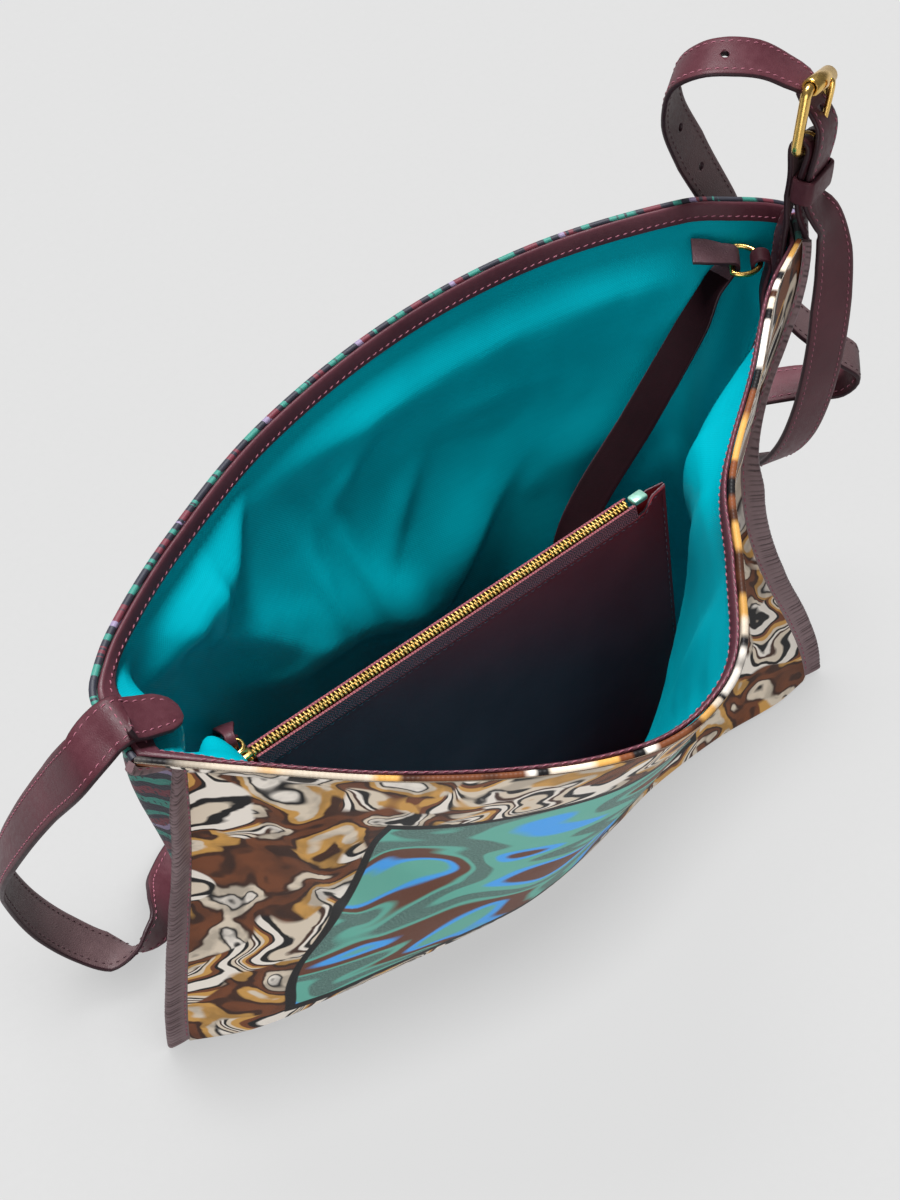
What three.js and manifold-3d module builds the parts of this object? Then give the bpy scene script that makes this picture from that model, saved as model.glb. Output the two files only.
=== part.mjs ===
// Open shoulder bag with a leather strap, a roller buckle and a zipped pouch inside.
// Millimetres, +Z up. The origin is on the ground under the middle of the base; the front faces -Y.
import * as THREE from "three";
import { mergeVertices } from "three/addons/utils/BufferGeometryUtils.js";
import Module from "manifold-3d";

const wasm = await Module();
wasm.setup();

// Bag body
const BASE_LENGTH = 320;
const FOOT_RADIUS = 9;
const PANEL_THICKNESS = 1.2;
const LINING_THICKNESS = 1.0;
const FACING_THICKNESS = 1.2;
const LAYER_GAP = 0.5;
const SEAM_GAP = 0.4;
const BINDING_WIDTH = 8;
const BINDING_THICKNESS = 3.2;
const FACING_FOOT = 0.957;
const BINDING_TAPER = { left: [0.8, 0.95], right: [0.6, 0.78] };

// Straps and buckle
const STRAP_WIDTH = 20;
const STRAP_THICKNESS = 2.5;
const SHORT_STRAP_THICKNESS = 2.0;
const STRAP_STEP = 11;
const STRAP_SEAT_U = 0.032;
const BUCKLE_SEAT_U = 0.9715;
const BUCKLE_BAR = new THREE.Vector3(185, 76, 238);
const BUCKLE_RISE = new THREE.Vector3(0.27, 0.23, 0.935);
const BUCKLE_AXIS = new THREE.Vector3(0.833, 0.396, -0.384);
const BUCKLE_HEIGHT = 25;
const BUCKLE_HALF_WIDTH = 13.2;
const BUCKLE_CORNER = 2.6;
const WIRE_RADIUS = 2.1;
const ROLLER_RADIUS = 3.6;
const ROLLER_LENGTH = 20;
const PRONG_RADIUS = 1.2;
const HOLE_RADIUS = 1.7;
const HOLE_START = 43.5;
const HOLE_SPACING = 26;
const HOLE_COUNT = 4;
const KEEPER_HEIGHT = 10;
const KEEPER_THICKNESS = 1.4;

// Pouch and its zip
const POUCH_LEATHER = 1.2;
const POUCH_SEAM = 0.2;
const POUCH_SWELL = 3.5;
const POUCH_TOP = 0.955;
const POUCH_END_TOP = 0.985;
const ZIP_HALF_WIDTH = 2.6;
const TAPE_THICKNESS = 1.0;
const TOOTH_PITCH = 7;
const CHAIN_HEIGHT = 2.2;
const PULL_WIDTH = 8;
const PULL_NECK = 0.5;

// Tether and ring
const TETHER_WIDTH = 14;
const TETHER_THICKNESS = 1.8;
const TETHER_NECK = 0.78;
const RING_WIRE = 1.1;
const RING_RADIUS = 8;
const RING_CENTRE = 3.4;
const RING_ARC = 115;

// The mouth: a row for each section of the rim, u running from the left seam to the right seam,
// with the depth of the base below it
const RIM = {
  front: [
    { u: 0.0, x: -162, y: -7, z: 206, foot: 0 },
    { u: 0.083, x: -134, y: -29, z: 204, foot: 13.5 },
    { u: 0.2, x: -92, y: -59, z: 200, foot: 19.5 },
    { u: 0.33, x: -46, y: -84, z: 197, foot: 23.5 },
    { u: 0.41, x: -12, y: -94, z: 195, foot: 25.5 },
    { u: 0.46, x: 11, y: -93, z: 196, foot: 26 },
    { u: 0.53, x: 35, y: -81, z: 198, foot: 23.5 },
    { u: 0.62, x: 59, y: -49, z: 200, foot: 17.5 },
    { u: 0.71, x: 80, y: -18, z: 201, foot: 10 },
    { u: 0.83, x: 119, y: 16, z: 204, foot: 5 },
    { u: 0.93, x: 149, y: 44, z: 206, foot: 5 },
    { u: 1.0, x: 174, y: 60, z: 206, foot: 0 },
  ],
  back: [
    { u: 0.0, x: -162, y: -7, z: 206, foot: 0 },
    { u: 0.036, x: -162, y: 9, z: 207, foot: 5 },
    { u: 0.061, x: -162, y: 20, z: 208, foot: 8 },
    { u: 0.08, x: -158, y: 28, z: 208.5, foot: 10 },
    { u: 0.133, x: -142, y: 44, z: 208, foot: 14 },
    { u: 0.231, x: -106, y: 69, z: 206, foot: 19 },
    { u: 0.373, x: -50, y: 98, z: 204, foot: 23 },
    { u: 0.533, x: 19, y: 116, z: 204, foot: 24 },
    { u: 0.681, x: 85, y: 118, z: 205, foot: 21.5 },
    { u: 0.825, x: 147, y: 103, z: 208, foot: 16 },
    { u: 0.877, x: 168, y: 93, z: 206, foot: 13.5 },
    { u: 0.915, x: 184, y: 88, z: 200, foot: 11.5 },
    { u: 0.931, x: 189, y: 84, z: 198, foot: 10 },
    { u: 0.946, x: 187.3, y: 78.7, z: 199, foot: 8.5 },
    { u: 1.0, x: 174, y: 60, z: 206, foot: 0 },
  ],
};

// How far each side seam is drawn into the bag, and at what share of its height
const PULL_FULLNESS = 0.75;
const SEAM_PULL = [
  { u: 0, dx: 17, dy: 0, peak: 0.93, reach: 0.12 },
  { u: 1, dx: -44, dy: -14, peak: 0.64, reach: 0.14 },
];

// Soft dents: a row for each, with its centre, its spread along and up the panel, and its push
const PANEL_DENTS = [
  { side: "back", u: 0.045, v: 0.935, along: 0.045, up: 0.05, dx: 9, dy: 0 },
  { side: "back", u: 0.09, v: 0.72, along: 0.045, up: 0.22, dx: -11, dy: 2 },
  { side: "back", u: 0.3, v: 0.6, along: 0.1, up: 0.25, dx: 3, dy: -6 },
  { side: "front", u: 0.27, v: 0.55, along: 0.1, up: 0.25, dx: 2, dy: 5 },
  { side: "front", u: 0.78, v: 0.5, along: 0.09, up: 0.25, dx: -3, dy: 3 },
];
const LINING_FOLDS = [
  { side: "front", u: 0.035, v: 0.87, along: 0.04, up: 0.09, dx: 5, dy: 20 },
  { side: "front", u: 0.83, v: 0.82, along: 0.1, up: 0.14, dx: -15, dy: 9 },
  { side: "back", u: 0.16, v: 0.55, along: 0.04, up: 0.25, dx: 5, dy: -5 },
  { side: "back", u: 0.27, v: 0.45, along: 0.035, up: 0.22, dx: 3, dy: -5 },
  { side: "back", u: 0.45, v: 0.5, along: 0.04, up: 0.25, dx: 0, dy: -5 },
];

// Sections up a panel, close together round the foot and the rim, and along it, close at the bends
const PANEL_LEVELS = [0, 0.012, 0.045, 0.16, 0.31, 0.46, 0.61, 0.74, 0.83, 0.885, 0.92, 0.957, 0.98, 1];
const PANEL_SECTIONS = {
  front: [
    0, 0.03, 0.06, 0.1, 0.14, 0.2, 0.26, 0.33, 0.37, 0.4, 0.425, 0.45, 0.475, 0.5, 0.53, 0.57, 0.62, 0.665,
    0.71, 0.76, 0.8, 0.84, 0.885, 0.93, 0.97, 1,
  ],
  back: [
    0, 0.025, 0.045, 0.06, 0.075, 0.1, 0.14, 0.18, 0.231, 0.3, 0.373, 0.45, 0.533, 0.61, 0.681, 0.75, 0.81,
    0.85, 0.885, 0.908, 0.922, 0.934, 0.946, 0.958, 0.971, 1,
  ],
};
const LAST_SECTION = PANEL_SECTIONS.front.length - 1;

// Route of the long strap beyond the rim: centre, direction of its width, and share of full width
const STRAP_ROUTE = [
  { x: -175, y: 5, z: 203, wx: 0, wy: -1, wz: 0 },
  { x: -184, y: 16, z: 178, wx: -0.2, wy: -0.97, wz: 0 },
  { x: -193, y: 28, z: 148, wx: -0.3, wy: -0.95, wz: 0 },
  { x: -199, y: 43, z: 110, wx: -0.4, wy: -0.9, wz: 0 },
  { x: -196, y: 55, z: 77, wx: -0.45, wy: -0.88, wz: 0 },
  { x: -188, y: 56, z: 45, wx: -0.5, wy: -0.86, wz: 0 },
  { x: -177, y: 52, z: 23, wx: -0.5, wy: -0.85, wz: 0.05 },
  { x: -166, y: 45, z: 12, wx: -0.5, wy: -0.8, wz: 0.2 },
  { x: -155, y: 41, z: 10, wx: -0.3, wy: -0.4, wz: 0.85 },
  { x: -146, y: 43, z: 11, wx: 0, wy: 0.1, wz: 1 },
  { x: -137, y: 52, z: 9, wx: -0.45, wy: 0.45, wz: 0.75 },
  { x: -127, y: 64, z: 4, wx: -0.7, wy: 0.7, wz: 0.2 },
  { x: -112, y: 75, z: 1.6, wx: -0.5, wy: 0.86, wz: 0 },
  { x: -85, y: 83, z: 1.6, wx: -0.2, wy: 0.98, wz: 0 },
  { x: -40, y: 86, z: 1.6, wx: 0, wy: 1, wz: 0 },
  { x: 0, y: 87, z: 5, wx: 0, wy: 1, wz: 0 },
  { x: 45, y: 91, z: 18, wx: 0, wy: 1, wz: 0 },
  { x: 95, y: 97, z: 42, wx: 0.1, wy: 1, wz: 0 },
  { x: 140, y: 100, z: 66, wx: 0.25, wy: 0.97, wz: 0 },
  { x: 177, y: 94, z: 84, wx: 0.45, wy: 0.9, wz: 0 },
  { x: 200, y: 80, z: 92, wx: 0.6, wy: 0.8, wz: 0 },
  { x: 217, y: 66, z: 97, wx: 0.6, wy: 0.8, wz: 0 },
  { x: 221, y: 63, z: 107, wx: 0.6, wy: 0.8, wz: 0 },
  { x: 212, y: 70, z: 117, wx: 0.6, wy: 0.8, wz: 0 },
  { x: 199, y: 83, z: 132, wx: 0.65, wy: 0.76, wz: 0 },
  { x: 187, y: 97, z: 155, wx: 0.75, wy: 0.65, wz: 0 },
  { x: 175, y: 108, z: 186, wx: 0.85, wy: 0.4, wz: 0 },
  { x: 162, y: 117, z: 216, wx: 0.85, wy: 0.3, wz: 0 },
  { x: 152, y: 119, z: 241, wx: 0.8, wy: 0.5, wz: 0 },
  { x: 151, y: 117, z: 259, wx: 0.7, wy: 0.66, wz: -0.1 },
  { x: 156, y: 109.5, z: 269, wx: 0.68, wy: 0.73, wz: 0.03 },
  { x: 164.8, y: 102.8, z: 271.2, wx: 0.62, wy: 0.78, wz: 0.1 },
  { x: 175, y: 97, z: 269, wx: 0.64, wy: 0.76, wz: 0.06 },
  { x: 182.6, y: 92, z: 264.2, wx: 0.7, wy: 0.68, wz: -0.06 },
];
const STRAP_TAIL = [
  { x: 190, y: 64, z: 205, wx: 0.9, wy: 0.35, wz: -0.2 },
  { x: 192, y: 59.5, z: 188, wx: 0.96, wy: 0.05, wz: -0.12 },
  { x: 191.5, y: 56, z: 165, wx: 0.97, wy: -0.1, wz: -0.1 },
  { x: 191, y: 54.5, z: 140, wx: 0.97, wy: -0.1, wz: -0.08 },
  { x: 190.5, y: 56, z: 108, wx: 0.97, wy: -0.1, wz: -0.06 },
  { x: 189, y: 61, z: 80, wx: 0.97, wy: -0.1, wz: -0.05 },
  { x: 187, y: 69, z: 62, wx: 0.97, wy: -0.1, wz: -0.05 },
  { x: 185, y: 77, z: 54, wx: 0.97, wy: -0.05, wz: -0.05, wide: 0.9 },
  { x: 184, y: 82, z: 51, wx: 0.97, wy: 0, wz: -0.05, wide: 0.4 },
];

// Distances of the short strap's two layers from its middle, at heights above the rim
const SHORT_STRAP_SPREAD = [
  { height: 4, spread: 3.6 },
  { height: 11, spread: 2.5 },
  { height: 17, spread: 2.15 },
  { height: 27, spread: 2.15 },
];
const SHORT_STRAP_LEVELS = [
  { v: 0.88, clear: 0.4, wide: 0.4 },
  { v: 0.895, clear: 0.5, wide: 0.8 },
  { v: 0.93, clear: 0.9, wide: 1 },
  { v: 0.975, clear: 1.4, wide: 1 },
];
const SHORT_STRAP_TWIST = 15;
const KEEPER_LIFT = 22;
const TAIL_LIFT = 5.2;

// Corners of the pouch, as it leans in the bag
const POUCH = {
  bottomLeft: new THREE.Vector3(-116, -6, 3.6),
  bottomRight: new THREE.Vector3(92, 4, 3.6),
  topLeft: new THREE.Vector3(-115, 12, 146),
  topRight: new THREE.Vector3(89, 31, 148),
};
const POUCH_SHARES = [0, 0.06, 0.15, 0.26, 0.38, 0.5, 0.62, 0.74, 0.85, 0.915, 0.955, 0.975, 1];
const ZIP_START = 0.03;
const ZIP_END = 0.915;

// Route of the tether from the end that is folded through the ring to the pouch
const RING_PLACE = new THREE.Vector3(153.7, 76.8, 193);
const RING_REACH = new THREE.Vector3(0.827, -0.562, 0);
const TETHER_FOLD = 3.4;
const TETHER_ROUTE = [
  { x: 145.5, y: 76, z: 186, wx: 0.45, wy: 0.85, wz: 0.1, wide: 0.9 },
  { x: 134, y: 72.5, z: 174, wx: 0, wy: 0.9, wz: 0.1 },
  { x: 99, y: 60, z: 150, wx: -0.27, wy: 0.85, wz: 0.3 },
  { x: 62, y: 46, z: 130, wx: -0.27, wy: 0.85, wz: 0.35 },
];
const RING_TAB_U = 0.975;
const RING_TAB_WIDTH = 7.2;
const TETHER_END = { share: 0.7, rise: 0.72 };

const MATERIALS = {
  print: new THREE.MeshStandardMaterial({ color: 0x8a6f52, roughness: 0.7 }),
  stripe: new THREE.MeshStandardMaterial({ color: 0x35444a, roughness: 0.75 }),
  lining: new THREE.MeshStandardMaterial({ color: 0x0a98a5, roughness: 0.6 }),
  leather: new THREE.MeshStandardMaterial({ color: 0x4b2830, roughness: 0.5 }),
  pouch: new THREE.MeshStandardMaterial({ color: 0x2f1c22, roughness: 0.45 }),
  tape: new THREE.MeshStandardMaterial({ color: 0x4a2833, roughness: 0.8 }),
  brass: new THREE.MeshStandardMaterial({ color: 0xc9983c, roughness: 0.3, metalness: 1 }),
  stop: new THREE.MeshStandardMaterial({ color: 0x86b9a4, roughness: 0.6 }),
};

const bag = new THREE.Group();

function point(x, y, z) {
  return new THREE.Vector3(x, y, z);
}

function mix(a, b, t) {
  return a + (b - a) * t;
}

function addPiece(name, geometry, material) {
  const mesh = new THREE.Mesh(geometry, MATERIALS[material]);
  mesh.name = name;
  bag.add(mesh);
}

// A closed mesh from corner points and index triples, turned so that its faces point out
function closedMesh(points, triangles) {
  let volume = 0;
  for (const [a, b, c] of triangles) {
    volume += points[a].dot(point(0, 0, 0).crossVectors(points[b], points[c]));
  }
  const facing = volume < 0 ? triangles.map(([a, b, c]) => [a, c, b]) : triangles;
  const geometry = new THREE.BufferGeometry();
  geometry.setAttribute("position", new THREE.Float32BufferAttribute(points.flatMap((p) => p.toArray()), 3));
  geometry.setIndex(facing.flat());
  geometry.computeVertexNormals();
  return geometry;
}

// A wall between two grids of points; a ring's columns close on themselves
function wallMesh(outer, inner, ring = false, floor = []) {
  const rows = outer.length;
  const columns = outer[0].length;
  const points = [...outer.flat(), ...inner.flat()];
  const at = (layer, row, column) => (layer * rows + row) * columns + (column % columns);
  const triangles = [];
  const quad = (a, b, c, d) => triangles.push([a, b, c], [a, c, d]);
  const spans = ring ? columns : columns - 1;
  for (let row = 0; row + 1 < rows; row += 1) {
    for (let column = 0; column < spans; column += 1) {
      const corners = [[row, column], [row, column + 1], [row + 1, column + 1], [row + 1, column]];
      if (ring && column >= columns / 2) {
        corners.push(corners.shift());
      }
      const [a, b, c, d] = corners;
      quad(at(0, ...a), at(0, ...b), at(0, ...c), at(0, ...d));
      quad(at(1, ...a), at(1, ...d), at(1, ...c), at(1, ...b));
    }
    if (!ring) {
      const last = columns - 1;
      quad(at(0, row, 0), at(0, row + 1, 0), at(1, row + 1, 0), at(1, row, 0));
      quad(at(0, row, last), at(1, row, last), at(1, row + 1, last), at(0, row + 1, last));
    }
  }
  for (let column = 0; column < spans; column += 1) {
    const top = rows - 1;
    quad(at(0, top, column), at(0, top, column + 1), at(1, top, column + 1), at(1, top, column));
    if (!floor.length) {
      quad(at(0, 0, column), at(1, 0, column), at(1, 0, column + 1), at(0, 0, column + 1));
    }
  }
  for (const [a, b, c] of floor) {
    triangles.push([at(0, 0, a), at(0, 0, c), at(0, 0, b)], [at(1, 0, a), at(1, 0, b), at(1, 0, c)]);
  }
  return closedMesh(points, triangles);
}

// A rod through a row of sections, each the same number of points; a loop joins its ends
function rodMesh(sections, loop = false) {
  const size = sections[0].length;
  const points = sections.flat();
  const count = sections.length;
  const at = (section, corner) => (section % count) * size + (corner % size);
  const triangles = [];
  for (let section = 0; section < (loop ? count : count - 1); section += 1) {
    for (let corner = 0; corner < size; corner += 1) {
      const a = at(section, corner);
      const b = at(section, corner + 1);
      const c = at(section + 1, corner + 1);
      const d = at(section + 1, corner);
      triangles.push([a, b, c], [a, c, d]);
    }
  }
  if (!loop) {
    for (let corner = 1; corner + 1 < size; corner += 1) {
      triangles.push([at(0, 0), at(0, corner + 1), at(0, corner)]);
      triangles.push([at(count - 1, 0), at(count - 1, corner), at(count - 1, corner + 1)]);
    }
  }
  return closedMesh(points, triangles);
}

// A round wire along points whose plane has the given normal
function wireMesh(path, normal, radius, sides, loop = false) {
  const sections = path.map((p, i) => {
    const before = path[loop ? (i + path.length - 1) % path.length : Math.max(i - 1, 0)];
    const after = path[loop ? (i + 1) % path.length : Math.min(i + 1, path.length - 1)];
    const along = after.clone().sub(before).normalize();
    const side = point(0, 0, 0).crossVectors(along, normal).normalize();
    return Array.from({ length: sides }, (_, k) => {
      const angle = (2 * Math.PI * k) / sides;
      return p
        .clone()
        .addScaledVector(side, radius * Math.cos(angle))
        .addScaledVector(normal, radius * Math.sin(angle));
    });
  });
  return rodMesh(sections, loop);
}

function toSolid(geometry) {
  const bare = geometry.clone();
  bare.deleteAttribute("normal");
  bare.deleteAttribute("uv");
  const merged = mergeVertices(bare, 1e-4);
  return new wasm.Manifold(
    new wasm.Mesh({
      numProp: 3,
      vertProperties: new Float32Array(merged.attributes.position.array),
      triVerts: new Uint32Array(merged.index.array),
    }),
  );
}

function fromSolid(solid) {
  const mesh = solid.getMesh();
  const geometry = new THREE.BufferGeometry();
  geometry.setAttribute("position", new THREE.BufferAttribute(mesh.vertProperties, 3));
  geometry.setIndex(new THREE.BufferAttribute(mesh.triVerts, 1));
  geometry.computeVertexNormals();
  return geometry;
}

// Smooth value of one column of a table at a place between its rows
function tableValue(rows, column, u) {
  let i = 0;
  while (i < rows.length - 2 && rows[i + 1].u <= u) {
    i += 1;
  }
  const slope = (k) => {
    const a = rows[Math.max(k - 1, 0)];
    const b = rows[Math.min(k + 1, rows.length - 1)];
    return (b[column] - a[column]) / (b.u - a.u);
  };
  const gap = rows[i + 1].u - rows[i].u;
  const t = (u - rows[i].u) / gap;
  const start = rows[i][column];
  const end = rows[i + 1][column];
  const rise = t * t * (3 - 2 * t);
  const leave = t * (1 - t) * (1 - t) * gap * slope(i);
  const arrive = t * t * (1 - t) * gap * slope(i + 1);
  return start + (end - start) * rise + leave - arrive;
}

// Rises from 0 to 1 at the peak and falls back to 0 at the rim
function pullProfile(v, peak) {
  const phase = v < peak ? (0.5 * v) / peak : 0.5 + (0.5 * (v - peak)) / (1 - peak);
  return (0.5 - 0.5 * Math.cos(2 * Math.PI * phase)) ** (v < peak ? PULL_FULLNESS : 1);
}

// Push of the soft dents at a place, fading out at the side seams so that the panels still meet
function dentPush(dents, side, u, v, top = 1) {
  const push = point(0, 0, 0);
  const fade = 1 - Math.exp(-((Math.min(u, 1 - u) / 0.02) ** 2));
  for (const dent of dents) {
    if (dent.side === side) {
      const along = (u - dent.u) / dent.along;
      const up = (v - dent.v) / dent.up;
      const share = fade * Math.exp(-along * along - up * up) * Math.min(1, 6 * v, Math.max(0, 12 * (top - v)));
      push.add(point(dent.dx * share, dent.dy * share, 0));
    }
  }
  return push;
}

function footDepth(side, u) {
  return Math.max(0, tableValue(RIM[side], "foot", u));
}

function footRadius(side, u) {
  return Math.min(FOOT_RADIUS, footDepth(side, u) / 2);
}

// Outer face of a panel: u along it from the left seam, v up it from the ground to the rim
function wall(side, u, v) {
  const sign = side === "front" ? -1 : 1;
  const rim = point(tableValue(RIM[side], "x", u), tableValue(RIM[side], "y", u), tableValue(RIM[side], "z", u));
  const depth = footDepth(side, u);
  const z = v * rim.z;
  const radius = footRadius(side, u);
  const inset = z < radius ? radius - Math.sqrt(radius ** 2 - (radius - z) ** 2) : 0;
  const place = point(mix(BASE_LENGTH * (u - 0.5), rim.x, v), mix(sign * (depth - inset), rim.y, v), z);
  for (const seam of SEAM_PULL) {
    const share = pullProfile(v, seam.peak) * Math.exp(-(((u - seam.u) / seam.reach) ** 2));
    place.add(point(seam.dx * share, seam.dy * share, 0));
  }
  return place.add(dentPush(PANEL_DENTS, side, u, v));
}

function inward(side, u, v) {
  if (v === 0) {
    return point(0, 0, 1);
  }
  const h = 0.003;
  const along = wall(side, Math.min(u + h, 1), v).sub(wall(side, Math.max(u - h, 0), v));
  const up = wall(side, u, Math.min(v + h, 1)).sub(wall(side, u, Math.max(v - h, 0)));
  return along.cross(up).normalize().multiplyScalar(side === "front" ? -1 : 1);
}

// Line of the back panel across the width of a strap that is sewn to it
function acrossPanel(u, v) {
  return wall("back", u - 0.02, v).sub(wall("back", u + 0.02, v)).normalize();
}

// A place at a depth inside a panel; on the ground it also keeps clear of a tight foot
function inside(side, u, v, depth) {
  const place = wall(side, u, v).addScaledVector(inward(side, u, v), depth);
  if (v === 0 && depth > PANEL_THICKNESS) {
    const step = Math.max(0, depth + LAYER_GAP - footRadius(side, u));
    place.y += side === "front" ? step : -step;
  }
  return place;
}

// The corner where the panels meet at a side seam: the way in, across, and half the angle between panels
function seamFrame(end, v) {
  const u = end === "left" ? 0 : 1;
  const step = end === "left" ? 0.03 : -0.03;
  const corner = wall("front", u, v);
  const up = wall("front", u, Math.min(v + 0.02, 1)).sub(wall("front", u, Math.max(v - 0.02, 0))).normalize();
  const towards = (side) => {
    const way = wall(side, u + step, v).sub(corner);
    return way.addScaledVector(up, -way.dot(up));
  };
  const front = towards("front");
  const back = towards("back");
  const lengthPerU = { front: front.length() / 0.03, back: back.length() / 0.03 };
  const half = front.angleTo(back) / 2;
  front.normalize();
  const inwards = front.clone().add(back.normalize()).normalize();
  const across = point(0, 0, 0).crossVectors(up, inwards).normalize();
  if (across.dot(front) < 0) {
    across.negate();
  }
  return { corner, inwards, across, half, lengthPerU };
}

// How far the panels' edges stop short of the seam so that they clear each other
function panelTrim(frame) {
  return (SEAM_GAP / 2 + PANEL_THICKNESS * Math.cos(frame.half)) / Math.sin(frame.half);
}

function panelColumns(side, v) {
  const left = seamFrame("left", v);
  const right = seamFrame("right", v);
  const start = panelTrim(left) / left.lengthPerU[side];
  const end = 1 - panelTrim(right) / right.lengthPerU[side];
  return [start, ...PANEL_SECTIONS[side].slice(1, -1), end];
}

function makePanel(name, side, material) {
  const outer = PANEL_LEVELS.map((v) => panelColumns(side, v).map((u) => wall(side, u, v)));
  const inner = PANEL_LEVELS.map((v) => panelColumns(side, v).map((u) => inside(side, u, v, PANEL_THICKNESS)));
  if (side === "front") {
    const edge = panelColumns("back", 0).map((u) => wall("back", u, 0).add(point(0, -SEAM_GAP, 0)));
    outer.unshift(edge);
    inner.unshift(edge.map((p) => p.clone().add(point(0, 0, PANEL_THICKNESS))));
  }
  addPiece(name, wallMesh(outer, inner), material);
}

// One closed ring of points round the inside of the bag at a height and depth, mitred at the seams
function innerRing(v, depth, folds = []) {
  const ends = ["left", "right"].map((end) => seamFrame(end, v));
  const place = (side, i) => {
    const trims = ends.map((frame) => depth / Math.tan(frame.half) / frame.lengthPerU[side]);
    const mitre = i === 0 ? trims[0] : 1 - trims[1];
    const u = i === 0 || i === LAST_SECTION ? mitre : PANEL_SECTIONS[side][i];
    return inside(side, u, v, depth).add(dentPush(folds, side, u, v, FACING_FOOT));
  };
  const shared = (i) => place("front", i).add(place("back", i)).multiplyScalar(0.5);
  const ring = [];
  for (let i = 0; i <= LAST_SECTION; i += 1) {
    ring.push(i === 0 || i === LAST_SECTION ? shared(i) : place("front", i));
  }
  for (let i = LAST_SECTION - 1; i > 0; i -= 1) {
    ring.push(place("back", i));
  }
  return ring;
}

function makeLining() {
  const depth = PANEL_THICKNESS + LAYER_GAP;
  const outer = PANEL_LEVELS.map((v) => innerRing(v, depth, LINING_FOLDS));
  const inner = PANEL_LEVELS.map((v) => innerRing(v, depth + LINING_THICKNESS, LINING_FOLDS));
  const floor = [];
  const behind = (i) => (i === 0 || i === LAST_SECTION ? i : 2 * LAST_SECTION - i);
  for (let i = 0; i < LAST_SECTION; i += 1) {
    if (behind(i) !== i) {
      floor.push([i, i + 1, behind(i)]);
    }
    if (behind(i + 1) !== i + 1) {
      floor.push([i + 1, behind(i + 1), behind(i)]);
    }
  }
  addPiece("lining", wallMesh(outer, inner, true, floor), "lining");
}

function facingDepth() {
  return PANEL_THICKNESS + LINING_THICKNESS + 2 * LAYER_GAP;
}

function makeFacing() {
  const levels = PANEL_LEVELS.filter((v) => v >= FACING_FOOT);
  const outer = levels.map((v) => innerRing(v, facingDepth()));
  const inner = levels.map((v) => innerRing(v, facingDepth() + FACING_THICKNESS));
  addPiece("rim_facing", wallMesh(outer, inner, true), "leather");
}

function makeBinding(name, end) {
  const half = BINDING_THICKNESS / 2;
  const outline = [
    { out: 0, side: half },
    { out: BINDING_WIDTH - 1.2, side: half },
    { out: BINDING_WIDTH, side: half - 1 },
    { out: BINDING_WIDTH, side: 1 - half },
    { out: BINDING_WIDTH - 1.2, side: -half },
    { out: 0, side: -half },
  ];
  const sections = PANEL_LEVELS.slice(1).map((v) => {
    const frame = seamFrame(end, v);
    const start = panelTrim(frame) * Math.cos(frame.half) - 1.6 * SEAM_GAP;
    const share = mix(1, 0.4, THREE.MathUtils.smoothstep(v, ...BINDING_TAPER[end]));
    return outline.map((corner) =>
      frame.corner
        .clone()
        .addScaledVector(frame.inwards, start - corner.out * share)
        .addScaledVector(frame.across, corner.side),
    );
  });
  addPiece(name, rodMesh(sections), "leather");
}

// Centre, width direction and face direction all along a strap laid through the rows of a route
function layStrap(rows, step) {
  const curve = new THREE.CatmullRomCurve3(rows.map((row) => point(row.x, row.y, row.z)), false, "centripetal");
  const places = [];
  for (let i = 0; i + 1 < rows.length; i += 1) {
    const gap = point(rows[i + 1].x - rows[i].x, rows[i + 1].y - rows[i].y, rows[i + 1].z - rows[i].z).length();
    const cuts = Math.max(1, Math.round(gap / step));
    for (let k = 0; k < (i + 2 === rows.length ? cuts + 1 : cuts); k += 1) {
      const share = k / cuts;
      const t = (i + share) / (rows.length - 1);
      const along = curve.getTangent(t);
      const width = point(
        mix(rows[i].wx, rows[i + 1].wx, share),
        mix(rows[i].wy, rows[i + 1].wy, share),
        mix(rows[i].wz, rows[i + 1].wz, share),
      );
      width.addScaledVector(along, -width.dot(along)).normalize();
      const face = point(0, 0, 0).crossVectors(along, width);
      const wide = mix(rows[i].wide ?? 1, rows[i + 1].wide ?? 1, share);
      places.push({ centre: curve.getPoint(t), width, face, wide });
    }
  }
  return places;
}

function strapMesh(places, width, thickness) {
  const corners = [
    { side: -1, face: -1 },
    { side: 1, face: -1 },
    { side: 1, face: 1 },
    { side: -1, face: 1 },
  ];
  const sections = places.map((place) =>
    corners.map((corner) =>
      place.centre
        .clone()
        .addScaledVector(place.width, (corner.side * place.wide * width) / 2)
        .addScaledVector(place.face, (corner.face * thickness) / 2),
    ),
  );
  return rodMesh(sections);
}

function routeRow(place, width, wide = 1) {
  return { x: place.x, y: place.y, z: place.z, wx: width.x, wy: width.y, wz: width.z, wide };
}

// Directions of the buckle: along its bar, from bar to roller, and out of its face
const buckleRise = BUCKLE_RISE.clone().normalize();
const buckleAxis = BUCKLE_AXIS.clone().addScaledVector(buckleRise, -BUCKLE_AXIS.dot(buckleRise)).normalize();
const buckleOut = point(0, 0, 0).crossVectors(buckleAxis, buckleRise);

function onBuckle(axis, rise, out) {
  return BUCKLE_BAR.clone()
    .addScaledVector(buckleAxis, axis)
    .addScaledVector(buckleRise, rise)
    .addScaledVector(buckleOut, out);
}

// Middle of the short strap at a height above the rim, turning from the rim's line to the buckle's
const rimDepth = facingDepth() + FACING_THICKNESS;
const seatMiddle = inside("back", BUCKLE_SEAT_U, 1, rimDepth / 2);
const seatWidth = acrossPanel(BUCKLE_SEAT_U, 1);
const seatRise = BUCKLE_BAR.clone().sub(seatMiddle);

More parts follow.
